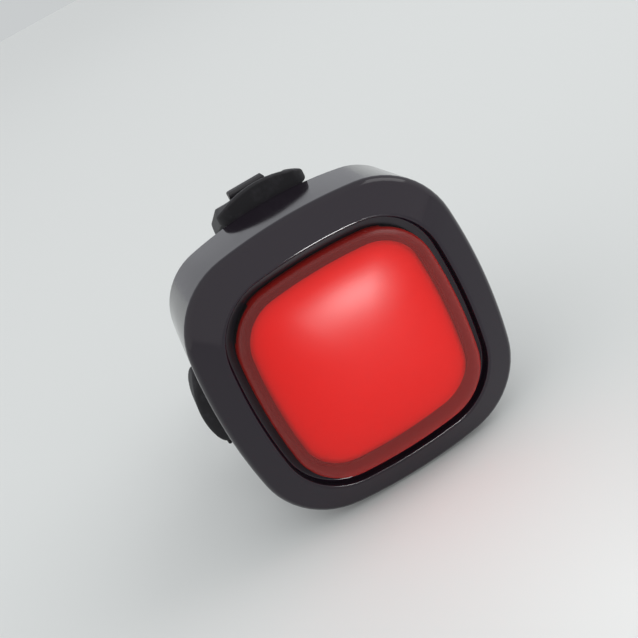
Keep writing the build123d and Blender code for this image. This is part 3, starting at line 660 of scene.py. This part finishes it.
def diffuser_opal_painted_rim_shade():
    # Milky polycarbonate over a white light box: even in the middle, and darker towards its rim as painted
    # shade, which stands for the box's walls keeping the daylight out
    material, tree, place = blank("opal polycarbonate")
    parts = add(tree, "ShaderNodeSeparateXYZ", {"Vector": place})
    powers = []
    for axis, half in zip("XZ", lens_size(DIFFUSER_INSET)):
        share = add(tree, "ShaderNodeMath", {
            0: parts.outputs[axis], 1: 1 / (half * MM),
        }, operation="MULTIPLY")
        size = add(tree, "ShaderNodeMath", {0: share.outputs[0]}, operation="ABSOLUTE")
        powers.append(add(tree, "ShaderNodeMath", {0: size.outputs[0], 1: 4.5}, operation="POWER").outputs[0])
    total = add(tree, "ShaderNodeMath", {0: powers[0], 1: powers[1]}, operation="ADD")
    reach = add(tree, "ShaderNodeMapRange", {
        "Value": total.outputs[0], "From Min": 0.8, "From Max": 1.12,
    }, interpolation_type="SMOOTHSTEP")
    # Painted shade: the colour turns from white to grey towards the rim, where the box's walls would keep
    # light out
    tone = add(tree, "ShaderNodeMix", {
        0: reach.outputs[0], 6: shade("#fbf9f6"), 7: shade("#5e5552"),
    }, data_type="RGBA")
    cloud = add(tree, "ShaderNodeTexNoise", {"Vector": place, "Scale": per_mm(7), "Detail": 2})
    rough = add(tree, "ShaderNodeMapRange", {"Value": cloud.outputs["Fac"], "To Min": 0.42, "To Max": 0.55})
    skin = add(tree, "ShaderNodeBsdfPrincipled", {
        "Base Color": tone.outputs[2], "Roughness": rough.outputs[0],
    })
    output(tree, skin.outputs[0])
    return material


def metal(name, code, rough, grain):
    # Plated steel: bright, with fine tumbling marks
    material, tree, place = blank(name)
    marks = add(tree, "ShaderNodeTexNoise", {"Vector": place, "Scale": per_mm(grain), "Detail": 4})
    value = add(tree, "ShaderNodeMapRange", {
        "Value": marks.outputs["Fac"], "To Min": rough - 0.08, "To Max": rough + 0.12,
    })
    bump = add(tree, "ShaderNodeBump", {
        "Height": marks.outputs["Fac"], "Strength": 0.2, "Distance": 0.005 * MM,
    })
    skin = add(tree, "ShaderNodeBsdfPrincipled", {
        "Base Color": shade(code), "Metallic": 1.0, "Roughness": value.outputs[0],
        "Normal": bump.outputs["Normal"],
    })
    output(tree, skin.outputs[0])
    return material


def coat(name, code, second, size, rough):
    # A coated or dyed surface with a slow change of tone
    material, tree, place = blank(name)
    cloud = add(tree, "ShaderNodeTexNoise", {"Vector": place, "Scale": per_mm(size), "Detail": 4})
    tone = add(tree, "ShaderNodeMix", {
        0: cloud.outputs["Fac"], 6: shade(code), 7: shade(second),
    }, data_type="RGBA")
    skin = add(tree, "ShaderNodeBsdfPrincipled", {"Base Color": tone.outputs[2], "Roughness": rough})
    output(tree, skin.outputs[0])
    return material


def dress(node, material):
    """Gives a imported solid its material."""
    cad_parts[node].data.materials.clear()
    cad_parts[node].data.materials.append(material)


# Pieces


def make_case():
    """The case: walls, bezel, lip and groove round the lens, with the port's recess and the button's hole."""
    s = sizes("case")
    lip_y = FACE_Y - s.lip_rise / MM
    moat_y = lip_y + MOAT_DEPTH
    sections = [
        (case_size(REAR_Y), REAR_Y, 0.4),
        (case_size(FACE_Y), FACE_Y, s.edge_round / MM),
        (lip_size(LIP_W), lip_y, 0.25),
        (lip_size(), lip_y, 0.2),
        (lip_size(), moat_y, 0.35),
        (lens_size(LEDGE_INSET), moat_y, 0.0),
        (lens_size(LEDGE_INSET), CAVITY_Y, 0.0),
        (case_size(CAVITY_Y, WALL), CAVITY_Y, 0.5),
        (case_size(REAR_Y, WALL), REAR_Y, 0.15),
    ]
    bm, _ = shell_from(sections, closed=True)
    bmesh.ops.recalc_face_normals(bm, faces=bm.faces)
    lip = lip_size(0.05)
    for face in bm.faces:
        middle = face.calc_center_median()
        deep = lip_y + 0.15 < middle.y < CAVITY_Y + 0.1
        within = deep and abs(middle.x) < lip[0] and abs(middle.z) < lip[1]
        face.material_index = int(within and (abs(face.normal.y) < 0.3 or face.normal.y < -0.99))
    seat = pill(COVER_L + 2 * COVER_FIT, COVER_W + 2 * COVER_FIT, THROUGH)
    bmesh.ops.translate(seat, vec=(COVER_SHIFT, 0, 0), verts=seat.verts)
    bm = carve(bm, placed(seat, side_frame(-1, PORT_Y, COVER_SEAT)))
    # Each cut through the wall starts well inside the case and ends clear of its outside
    slot = pill(*PORT_SLOT, THROUGH + 2)
    bm = carve(bm, placed(slot, side_frame(-1, PORT_Y, THROUGH)))
    hole = pill(BUTTON[0] + 2 * COVER_FIT, BUTTON[1] + 2 * COVER_FIT, THROUGH + 4)
    bm = carve(bm, placed(hole, side_frame(1, PORT_Y, THROUGH)))
    # The groove keeps the mould's matt skin: no mirror in it, so it stays a dark line round the lens
    groove = plastic("matt moulded groove", sizes("colours").casing, 0.5, 0.6, 0.4, 0.01, 1.4)
    finished(bm, "case_shell", "light", [case_abs(), groove], ["front_shell"])


def dome_sections(base_y, crown, inset, steps=14):
    """Rings of a pillow that shrink alike while they rise towards the viewer."""
    power = sizes("lens").shoulder
    rows = []
    for k in range(steps):
        share = cos(pi / 2 * k / (steps - 0.4))
        height = crown * (1 - share**power) ** (1 / power)
        rows.append((tuple(share * value for value in lens_size(inset)), base_y - height, 0.0))
    return rows


def make_lens():
    """The domed lens, hollow, with a black band inside near its seat: it stands for the black seal and the
    shaded inside of the case seen through the red, partly painted shade.
    """
    lip_y = FACE_Y - sizes("case").lip_rise / MM
    seat_y = lip_y + MOAT_DEPTH - SEAL_T
    crown = sizes("lens").crown / MM
    outside = dome_sections(lip_y, crown, 0.0)
    inside = dome_sections(lip_y + 0.6, crown + 0.6 - LENS_WALL, LENS_WALL)
    sections = outside[::-1] + [(lens_size(), seat_y, 0.2), (lens_size(LENS_WALL), seat_y, 0.0)] + inside
    bm, rings = shell_from(sections)
    cap(bm, rings[0])
    cap(bm, rings[-1])
    bmesh.ops.recalc_face_normals(bm, faces=bm.faces)
    for face in bm.faces:
        middle = face.calc_center_median()
        half_w, half_h = lens_size(LENS_WALL)[:2]
        reach = max(abs(middle.x) / half_w, abs(middle.z) / half_h)
        inner = face.normal.y > 0.02 or (reach < 1.01 and face.normal.y > -0.02)
        face.material_index = (2 if middle.y > inside[MASK_RING][1] else 1) if inner else 0
    # Painted shade: a black band on the lens's inside near its seat, standing for the dark, shaded inside of
    # the case behind the rim
    shaded_inner_band = coat("printed black frame", "#0d0a0b", "#141011", 1.2, 0.6)
    finishes = [lens_acrylic(), lens_bore(), shaded_inner_band]
    finished(bm, "lens_dome", "light", finishes, ["lens"], sharp=60, weighted=False)


def make_diffuser():
    """The milky pillow that shows through the lens."""
    dome = dome_sections(DIFFUSER_FRONT_Y, DIFFUSER_CROWN, DIFFUSER_INSET)
    sections = dome[::-1] + [(lens_size(DIFFUSER_INSET), DIFFUSER_BACK_Y, 0.15)]
    bm, rings = shell_from(sections)
    cap(bm, rings[0])
    cap(bm, rings[-1])
    bmesh.ops.recalc_face_normals(bm, faces=bm.faces)
    finished(bm, "light_diffuser", "light", [diffuser_opal_painted_rim_shade()], ["diffuser"], weighted=False)


def strap_stations():
    """Stations along the strap, from its eye round the post to its hooked end.

    Each is a point on the outer side, the angle that side faces, a thickness, a width and an arch.
    """
    band = sizes("strap").thickness / MM
    width = sizes("strap").width / MM
    strap_r = POST_R + band
    eye_t = EYE_R - PIN_R - EYE_FIT
    eye_steps, band_steps = 28, 44
    levelled = 0.7
    start = degrees(atan2(PIN_Z, PIN_Y)) + degrees(acos((strap_r - EYE_R) / hypot(PIN_Y, PIN_Z)))
    end = degrees(atan2(FLEX.y, FLEX.x)) - degrees(acos(strap_r / FLEX.length))

    def at(r, angle, centre=(0, 0)):
        return Vector((centre[0] + r * cos(radians(angle)), centre[1] + r * sin(radians(angle))))

    rows = []
    for k in range(eye_steps):
        angle = start - EYE_WRAP + EYE_WRAP * k / eye_steps
        rows.append((at(EYE_R, angle, (PIN_Y, PIN_Z)), angle, eye_t, width, 0))
    a, b = at(EYE_R, start, (PIN_Y, PIN_Z)), at(strap_r, start)
    halfway = (eye_t + band) / 2
    thinning = ((0, eye_t), (0.06, eye_t), (0.14, halfway), (0.22, band), (0.5, band), (0.8, band))
    for share, t in thinning:
        rows.append((a.lerp(b, share), start, t, width, 0))
    for k in range(band_steps + 1):
        angle = start + (end - start) * k / band_steps
        rows.append((at(strap_r, angle), angle, band, width, 0))
    last = at(strap_r, end)
    for share in (0.25, 0.5, 0.7, 0.85, 0.92, 1.0):
        rows.append((last.lerp(FLEX, share), end, band + (TAIL_T - band) * share, width, 0))
    corner = NOSE.x + NOSE_CORNER_R
    depths = [FLEX.x + (corner - FLEX.x) * k / 8 for k in range(1, 8)]
    depths += [corner - NOSE_CORNER_R * sin(radians(90 * k / 10)) for k in range(11)]
    for y in depths:
        if y > BROW.x:
            share = (FLEX.x - y) / (FLEX.x - BROW.x)
            point, t = FLEX.lerp(BROW, share), TAIL_T + (BROW_T - TAIL_T) * share
        else:
            share = (BROW.x - y) / (BROW.x - NOSE.x)
            point, t = BROW.lerp(NOSE, share), BROW_T + (NOSE_T - BROW_T) * share
        reach = min(1.0, (FLEX.x - y) / (FLEX.x - BROW.x))
        trim = NOSE_CORNER_R * (1 - sqrt(1 - min(max(0.0, (corner - y) / NOSE_CORNER_R), 1.0) ** 2))
        inside = max(0.0, NOSE.x + NOSE_ROUND - y)
        drop = NOSE_ROUND - sqrt(NOSE_ROUND**2 - min(inside, NOSE_ROUND) ** 2)
        facing = end + (90 - end) * min(1.0, reach / levelled)
        spot = Vector((y, point.y - drop))
        rows.append((spot, facing, t - drop, width + NOSE_GROWTH * reach - 2 * trim, NOSE_ARCH * reach))
    return rows


def make_strap():
    """The rubber strap as one piece, with the slot that its hook comes through."""
    rows = strap_stations()
    full = sizes("strap").width / MM + NOSE_GROWTH

    def station(row):
        point, angle, t, width, _ = row
        turn = Matrix.Rotation(radians(angle - 90), 4, "X")
        return Matrix.Translation((STRAP_SHIFT, point.x, point.y)) @ turn @ Matrix.Diagonal((width, 1, t, 1))

    bm = bmesh.new()
    bmesh.ops.create_grid(bm, x_segments=14, y_segments=1, size=0.5)
    bmesh.ops.delete(bm, geom=list(bm.faces), context="FACES_ONLY")
    inner = [
        e for e in bm.edges if abs(e.verts[0].co.y + e.verts[1].co.y) < 0.01 and abs(e.verts[0].co.x) < 0.49
    ]
    bmesh.ops.delete(bm, geom=inner, context="EDGES")
    bmesh.ops.rotate(bm, cent=(0, 0, 0), matrix=Matrix.Rotation(pi / 2, 3, "X"), verts=bm.verts)
    bmesh.ops.translate(bm, vec=(0, 0, -0.5), verts=bm.verts)
    first, last, drawn = sweep(bm, [station(row) for row in rows])
    for verts, (point, angle, _, _, arch) in zip(drawn, rows):
        out = Vector((0, cos(radians(angle)), sin(radians(angle))))
        face = Vector((0, *point))
        for v in verts if arch else ():
            if abs((v.co - face).dot(out)) < 0.05:
                fall = arch * (2 * (v.co.x - STRAP_SHIFT) / full) ** 2
                bmesh.ops.translate(bm, vec=out * -fall, verts=[v])
    cap(bm, first)
    cap(bm, last)
    bmesh.ops.recalc_face_normals(bm, faces=bm.faces)
    rims = [e for e in bm.edges if len(e.link_faces) == 2 and e.calc_face_angle(0) > radians(55)]
    soften(bm, rims, 0.4, 3)
    x0, x1 = HOOK_X - HOOK_W / 2 - SLOT_GAP_X, HOOK_X + HOOK_W / 2 + SLOT_GAP_X
    slot = slab(x0, x1, HOOK_Y[0] - SLOT_GAP_Y[0], HOOK_Y[1] + SLOT_GAP_Y[1], 15, 35)
    soften(slot, [e for e in slot.edges if run_along(e, "z") > 1], SLOT_CORNER_R, 3)
    bm = carve(bm, slot)
    strap = finished(bm, "rubber_strap", None, [silicone()], ["strap", "strap_tab"])
    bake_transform(strap)


def make_port_cover():
    """The soft cover over the port, with its pull lip and its plug."""
    top = COVER_SEAT + COVER_PROUD - 0.05
    bm = pill(COVER_L, COVER_W, top)
    bmesh.ops.translate(bm, vec=(COVER_SHIFT, 0, 0), verts=bm.verts)
    lower = COVER_SHIFT - COVER_L / 2
    cuts = [lower + COVER_L * k / 28 for k in range(1, 28)]
    cuts += [COVER_HINGE_Z + k for k in (-0.8, -0.3, 0.0, 0.3, 0.8)]
    for x in cuts:
        geom = list(bm.verts) + list(bm.edges) + list(bm.faces)
        bmesh.ops.bisect_plane(bm, geom=geom, plane_co=(x, 0, 0), plane_no=(1, 0, 0), dist=0.001)
    for v in [v for v in bm.verts if v.co.z > top - 0.01]:
        fall = COVER_CROWN_R - sqrt(COVER_CROWN_R**2 - v.co.x**2)
        bmesh.ops.translate(bm, vec=(0, 0, -fall), verts=[v])
    rim = [e for e in bm.edges if e.calc_face_angle(0) > radians(50) and all(v.co.z > 0.1 for v in e.verts)]
    soften(bm, rim, 0.5, 4)
    lip = slab(
        lower + COVER_LIP[0], lower + COVER_LIP[1], -COVER_LIP_HALF_W, COVER_LIP_HALF_W,
        COVER_SEAT + COVER_LIP_RISE[0], COVER_SEAT + COVER_LIP_RISE[1],
    )
    soften(lip, list(lip.edges), 0.3, 3)
    plug = pill(*COVER_PLUG)
    bmesh.ops.translate(plug, vec=COVER_PLUG_PLACE, verts=plug.verts)
    join(bm, lip, plug)
    placed(bm, side_frame(-1, PORT_Y, COVER_SEAT - 0.03))
    rubber = silicone("soft port rubber")
    cover = finished(bm, "charging_port_cover", None, [rubber], ["port_cover", "port_cover_root"])
    wall = -case_size(PORT_Y)[0] * MM
    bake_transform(cover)


def make_button():
    """The rubber cap of the power button, with a ridge on it and a flange inside the wall."""
    height = BUTTON_PROUD + BUTTON_SUNK
    bm = pill(*BUTTON, height)
    soften(bm, edges_past(bm, "z", height - 0.01), 0.6, 4)
    ridge = pill(*RIDGE, RIDGE_ROOT + BUTTON_RIDGE)
    soften(ridge, edges_past(ridge, "z", BUTTON_RIDGE), 0.2, 3)
    bmesh.ops.translate(ridge, vec=(0, 0, height - RIDGE_ROOT), verts=ridge.verts)
    flange = pill(BUTTON[0] + FLANGE_OUT, BUTTON[1] + FLANGE_OUT, FLANGE_T)
    bmesh.ops.translate(flange, vec=(0, 0, -0.6), verts=flange.verts)
    join(bm, ridge, flange)
    placed(bm, side_frame(1, PORT_Y, BUTTON_SUNK))
    finished(bm, "button_cap", "power_button", [silicone("soft button rubber")], ["power_button"])


def make_rear_cover():
    """The rear cover, with a pocket for each screw's head."""
    pocket_r, pocket_depth = SCREW_POCKET
    size = case_size(REAR_Y, WALL + 0.1)
    bm, rings = shell_from([(size, REAR_Y, 0.25), (size, REAR_Y - 2.4, 0.0)])
    cap(bm, [e for e in bm.edges if e.is_boundary and e.verts[0].co.y > REAR_Y - 1])
    cap(bm, rings[-1])
    bmesh.ops.recalc_face_normals(bm, faces=bm.faces)
    for sx in (-1, 1):
        for sz in (-1, 1):
            pocket = drum(pocket_r, REAR_Y - pocket_depth, REAR_Y + 1, sx * SCREW_X, sz * SCREW_Z)
            bm = carve(bm, pocket)
    # The same black ABS from a dull mould: a soft sheen that sets the cover off from the glossy walls
    matt = plastic("matt moulded ABS", sizes("colours").casing, 0.35, 0.5, 0.4, 0.01)
    finished(bm, "rear_plate", "light", [matt], ["rear_cover"])


def make_screws():
    """The rear cover's four screws, each with a cross for the driver."""
    steel = metal("zinc-plated steel", "#a9a8a6", 0.35, 0.4)
    head_r, head_t = SCREW_HEAD
    arm, half_arm_w, cross_depth = SCREW_CROSS
    y1 = REAR_Y - 0.1
    for label, sx in (("left", -1), ("right", 1)):
        for place, sz in (("lower", -1), ("upper", 1)):
            x, z = sx * SCREW_X, sz * SCREW_Z
            bm = drum(head_r, y1 - head_t, y1, x, z, 28)
            soften(bm, edges_past(bm, "y", y1 - 0.01), 0.3, 3)
            for half_x, half_z in ((arm, half_arm_w), (half_arm_w, arm)):
                notch = slab(x - half_x, x + half_x, y1 - cross_depth, y1 + 1, z - half_z, z + half_z)
                bm = carve(bm, notch)
            replaced = ["case_screws"] if (sx, sz) == (-1, -1) else []
            finished(bm, f"rear_screw_{place}_{label}", "light", [steel], replaced)


def make_lug():
    """One lug for the strap's pin: a ring with a square foot, drawn flat."""
    lug = bmesh.new()
    outer = bmesh.ops.create_circle(lug, radius=EYE_R, segments=24)["verts"]
    bmesh.ops.create_circle(lug, radius=PIN_R + PIN_FIT, segments=24)
    bmesh.ops.bridge_loops(lug, edges=list(lug.edges))
    bmesh.ops.translate(lug, vec=(0, LUG_FOOT, 0), verts=[v for v in outer if v.co.y > 0.1])
    made = bmesh.ops.extrude_face_region(lug, geom=list(lug.faces))
    bmesh.ops.translate(lug, vec=(0, 0, LUG_T), verts=vertices_of(made))
    bmesh.ops.recalc_face_normals(lug, faces=lug.faces)
    rim = [e for e in lug.edges if e.calc_face_angle(0) > radians(60) and run_along(e, "z") < 0.01]
    soften(lug, rim, 0.25, 2)
    return lug


def make_bracket():
    """The bracket: plate, block, two lugs for the pin, the hook, and the hollow for the post."""
    plate = slab(-BASE_HALF_W, BASE_HALF_W, REAR_Y, REAR_Y + PLATE_T, -PLATE_HALF_H, PLATE_HALF_H)
    soften(plate, [e for e in plate.edges if run_along(e, "y") > 1], PLATE_CORNER_R, 6)
    soften(plate, edges_past(plate, "y", REAR_Y + PLATE_T - 0.1), 0.5, 3)
    front, rear = BLOCK_HALF_H
    outline = [(REAR_Y + 1, -front), (REAR_Y + 1, front), (BLOCK_REAR_Y, rear), (BLOCK_REAR_Y, -rear)]
    block = prism(outline, BASE_HALF_W)
    sides = [e for e in block.edges if run_along(e, "x") < 0.01 and e.calc_length() > 15]
    soften(block, sides, 1.2, 4)
    bm = carve(plate, block, "UNION")
    for sign in (-1, 1):
        turn = Matrix(((0, 0, 1), (1, 0, 0), (0, 1, 0))).to_4x4()
        x = LUG_X if sign > 0 else -LUG_X - LUG_T
        bm = carve(bm, placed(make_lug(), Matrix.Translation((x, PIN_Y, PIN_Z)) @ turn), "UNION")
    y0, y1 = HOOK_Y
    low = FLEX.lerp(BROW, (FLEX.x - y0) / (FLEX.x - BROW.x)).y + 0.1
    top = low + HOOK_HEAD_T
    tip = y0 - HOOK_LIP
    outline = [(y0, HOOK_ROOT_Z), (y0, low), (tip, low), (tip, top), (y1, top), (y1, HOOK_ROOT_Z)]
    hook = prism(outline, HOOK_W / 2)
    bmesh.ops.translate(hook, vec=(HOOK_X, 0, 0), verts=hook.verts)
    soften(hook, edges_past(hook, "z", top - 0.05), 0.5, 4)
    bm = carve(bm, hook, "UNION")
    bm = carve(bm, crossbar(PAD_R, 60, steps=96))
    finished(bm, "strap_bracket", "light", [bracket_nylon()], ["mount_base"])


def make_saddle():
    """The rubber pad between bracket and post, with grooves along the post."""
    bm = bmesh.new()
    bmesh.ops.create_grid(bm, x_segments=1, y_segments=1, size=0.5)
    bmesh.ops.delete(bm, geom=list(bm.faces), context="FACES_ONLY")
    bmesh.ops.scale(bm, vec=(2 * BASE_HALF_W, 1, 1), verts=bm.verts)
    bmesh.ops.translate(bm, vec=(0, -0.5, 0), verts=bm.verts)
    full, thin = PAD_R - POST_R, PAD_R - POST_R - GROOVE_DEPTH
    profile = ((-GROOVE_EDGE, full), (-GROOVE_FOOT, thin), (GROOVE_FOOT, thin), (GROOVE_EDGE, full))
    rows = [(-PAD_HALF_ANGLE, full)]
    for k in range(GROOVES):
        middle = PAD_HALF_ANGLE * (2 * k - GROOVES + 1) / GROOVES
        for offset, t in profile:
            rows.append((middle + offset, t))
        rows.append((middle + 6, full))
        rows.append((middle + PAD_HALF_ANGLE / GROOVES, full))
    rows.append((PAD_HALF_ANGLE, full))
    out = Matrix.Translation((0, PAD_R, 0))
    first, last, _ = sweep(bm, [
        Matrix.Rotation(radians(angle + 180), 4, "X") @ out @ Matrix.Diagonal((1, t, 1, 1))
        for angle, t in sorted(set(rows))
    ])
    cap(bm, first)
    cap(bm, last)
    bmesh.ops.recalc_face_normals(bm, faces=bm.faces)
    finished(bm, "post_saddle", "light", [silicone("saddle rubber")], ["saddle_pad"], weighted=False)


def make_pin():
    """The pin that the strap's eye turns on."""
    bm = crossbar(PIN_R, PIN_L, PIN_Y, PIN_Z)
    soften(bm, [e for e in bm.edges if run_along(e, "x") < 0.01], 0.25, 3)
    finished(bm, "strap_hinge_pin", "light", [metal("turned steel", "#9d9c9b", 0.3, 0.6)], ["strap_pin"])


def dress_inside():
    """Gives each packed inner part the finish of its real material."""
    steel = metal("tin-plated steel", "#b9b8b5", 0.3, 0.5)
    black = coat("moulded epoxy", "#151515", "#1f1f20", 1.5, 0.5)
    white = opal("white reflector ABS", "#ecebe6")
    finishes = {
        "lens_seal": coat("black foam seal", "#161617", "#222224", 0.6, 0.9),
        "light_tray": white,
        "leds": coat("pale chip package", "#e7dcb4", "#f2ecd6", 0.8, 0.35),
        "circuit_board": coat("green solder mask", "#0d4a2a", "#125a35", 3.0, 0.3),
        "control_chips": black,
        "chip_resistors": coat("ceramic chip", "#26262a", "#3a3a3e", 0.5, 0.4),
        "board_screws": steel,
        "tactile_switch": steel,
        "usb_socket": metal("nickel-plated shell", "#c4c2bd", 0.25, 0.5),
        "usb_tongue": black,
        "battery_connector": coat("ivory nylon", "#ded3b4", "#e8dfc6", 1.5, 0.45),
        "battery_cell": metal("foil pouch", "#bfc1c4", 0.35, 2.5),
        "battery_tape": coat("black foam tape", "#1b1b1c", "#29292b", 0.5, 0.95),
        "battery_wire_red": coat("red insulation", "#a81612", "#bb201a", 1.0, 0.4),
        "battery_wire_black": coat("black insulation", "#121212", "#1c1c1c", 1.0, 0.4),
        "cover_gasket": coat("grey seal rubber", "#2a2a2c", "#38383a", 0.8, 0.8),
        "mount_screws": steel,
    }
    for node, material in finishes.items():
        dress(node, material)


# Stage


def area_lamp(name, place, target, width, power, spread=180):
    """A square white lamp: its light stays within `spread` degrees."""
    lamp = bpy.data.lights.new(name, "AREA")
    lamp.shape = "SQUARE"
    lamp.size, lamp.energy, lamp.spread = width, power, radians(spread)
    obj = bpy.data.objects.new(name, lamp)
    bpy.context.scene.collection.objects.link(obj)
    obj.location = place
    obj.rotation_mode = "QUATERNION"
    obj.rotation_quaternion = (Vector(target) - Vector(place)).to_track_quat("-Z", "Y")
    return obj


def make_stage():
    """The photo's camera, a floor of pale card, a pale world and two lamps."""
    scene = bpy.context.scene
    scene.view_settings.view_transform = "Standard"
    camera = bpy.data.cameras.new("camera")
    camera.lens, camera.sensor_width = FOCAL_LENGTH, 36
    camera.clip_start, camera.clip_end = 0.01, 60
    eye = bpy.data.objects.new("camera", camera)
    scene.collection.objects.link(eye)
    right = Vector(CAMERA_RIGHT)
    back = right.cross(Vector(CAMERA_UP)).normalized()
    up = back.cross(right).normalized()
    turn = Matrix((right, up, back)).transposed().to_4x4()
    eye.matrix_world = Matrix.Translation(CAMERA_PLACE) @ turn
    scene.camera = eye

    bm = bmesh.new()
    bmesh.ops.create_grid(bm, x_segments=8, y_segments=8, size=8.0)
    bmesh.ops.translate(bm, vec=(0, 0, CAD_BOX[0].z - 0.0002), verts=bm.verts)
    mesh = bpy.data.meshes.new("studio_floor")
    bm.to_mesh(mesh)
    bm.free()
    floor = bpy.data.objects.new("studio_floor", mesh)
    scene.collection.objects.link(floor)
    material, tree, _ = blank("studio card")
    tone = (*sizes("colours").floor, 1.0)
    card = add(tree, "ShaderNodeBsdfPrincipled", {"Base Color": tone, "Roughness": 0.8})
    output(tree, card.outputs[0])
    mesh.materials.append(material)

    world = bpy.data.worlds.new("studio")
    scene.world = world
    world.use_nodes = True
    tree = world.node_tree
    tree.nodes.clear()
    path = add(tree, "ShaderNodeLightPath")
    sky = add(tree, "ShaderNodeTexCoord").outputs["Generated"]
    way = add(tree, "ShaderNodeSeparateXYZ", {"Vector": sky})
    depth = add(tree, "ShaderNodeMapRange", {
        "Value": way.outputs["Y"], "From Min": -0.2, "From Max": 0.9,
    }, interpolation_type="SMOOTHSTEP")
    # A room lights the light, and the camera sees a plain pale haze in its place
    room = add(tree, "ShaderNodeMix", {
        0: depth.outputs[0], 6: shade("#ffffff"), 7: shade("#c0c2c6"),
    }, data_type="RGBA")
    lit = add(tree, "ShaderNodeBackground", {"Color": room.outputs[2], "Strength": 0.97})
    haze = add(tree, "ShaderNodeMix", {
        0: depth.outputs[0], 6: shade("#d5d8d8"), 7: shade("#c9cccd"),
    }, data_type="RGBA")
    seen = add(tree, "ShaderNodeBackground", {"Color": haze.outputs[2], "Strength": 1.0})
    both = add(tree, "ShaderNodeMixShader", {
        0: path.outputs["Is Camera Ray"], 1: lit.outputs[0], 2: seen.outputs[0],
    })
    add(tree, "ShaderNodeOutputWorld", {"Surface": both.outputs[0]})

    area_lamp("window", (0.018, -0.1422, -0.0036), (0.003, -0.0546, 0.0107), 0.0168, 0.0093, spread=90)
    area_lamp("right softbox", (1.1, -0.1, 1.0), (0.2, 0.05, 0), 0.9, 4.0)


class RearLightOperator:
    """Shared settings of the operators that build the light."""

    bl_options = {"REGISTER", "UNDO"}

    def execute(self, context):
        for step in self.steps:
            step()
        return {"FINISHED"}


class REARLIGHT_OT_stage(RearLightOperator, bpy.types.Operator):
    """Adds the floor, the lamps, the world and the camera"""

    bl_idname = "rear_light.stage"
    bl_label = "Stage"
    steps = (make_stage,)


class REARLIGHT_OT_case(RearLightOperator, bpy.types.Operator):
    """Models the case with its bezel, port recess and button hole"""

    bl_idname = "rear_light.case"
    bl_label = "Case"
    steps = (make_case,)


class REARLIGHT_OT_lens(RearLightOperator, bpy.types.Operator):
    """Models the domed lens and the diffuser behind it"""

    bl_idname = "rear_light.lens"
    bl_label = "Lens and diffuser"
    steps = (make_lens, make_diffuser)


class REARLIGHT_OT_strap(RearLightOperator, bpy.types.Operator):
    """Models the rubber strap with its hooked end"""

    bl_idname = "rear_light.strap"
    bl_label = "Strap"
    steps = (make_strap,)


class REARLIGHT_OT_controls(RearLightOperator, bpy.types.Operator):
    """Models the port cover and the power button"""

    bl_idname = "rear_light.controls"
    bl_label = "Port cover and button"
    steps = (make_port_cover, make_button)


class REARLIGHT_OT_rear(RearLightOperator, bpy.types.Operator):
    """Models the rear cover and its screws"""

    bl_idname = "rear_light.rear"
    bl_label = "Rear cover and screws"
    steps = (make_rear_cover, make_screws)


class REARLIGHT_OT_bracket(RearLightOperator, bpy.types.Operator):
    """Models the bracket, its saddle and the strap's pin"""

    bl_idname = "rear_light.bracket"
    bl_label = "Bracket and saddle"
    steps = (make_bracket, make_saddle, make_pin)


class REARLIGHT_OT_inside(RearLightOperator, bpy.types.Operator):
    """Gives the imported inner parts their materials"""

    bl_idname = "rear_light.inside"
    bl_label = "Inner parts"
    steps = (dress_inside,)


OPERATORS = (
    REARLIGHT_OT_stage,
    REARLIGHT_OT_case,
    REARLIGHT_OT_lens,
    REARLIGHT_OT_strap,
    REARLIGHT_OT_controls,
    REARLIGHT_OT_rear,
    REARLIGHT_OT_bracket,
    REARLIGHT_OT_inside,
)


class REARLIGHT_PT_panel(bpy.types.Panel):
    """Lists the operators and the sizes"""

    bl_label = "Rear light"
    bl_idname = "REARLIGHT_PT_panel"
    bl_space_type = "VIEW_3D"
    bl_region_type = "UI"
    bl_category = "Rear light"

    def draw(self, context):
        for operator in OPERATORS:
            self.layout.operator(operator.bl_idname)
        for name in GROUPS:
            group = sizes(name)
            box = self.layout.box()
            for key in group.__annotations__:
                box.prop(group, key)


def register():
    for name, group in GROUPS.items():
        bpy.utils.register_class(group)
        setattr(bpy.types.Scene, "rear_light_" + name, PointerProperty(type=group))
    for operator in OPERATORS:
        bpy.utils.register_class(operator)
    bpy.utils.register_class(REARLIGHT_PT_panel)


def unregister():
    for name in GROUPS:
        delattr(bpy.types.Scene, "rear_light_" + name)
    bpy.utils.unregister_class(REARLIGHT_PT_panel)
    for made in reversed((*GROUPS.values(), *OPERATORS)):
        bpy.utils.unregister_class(made)


def main():
    register()
    for name in ("stage", "case", "lens", "strap", "controls", "rear", "bracket", "inside"):
        getattr(bpy.ops.rear_light, name)()


if __name__ == "__main__":
    main()
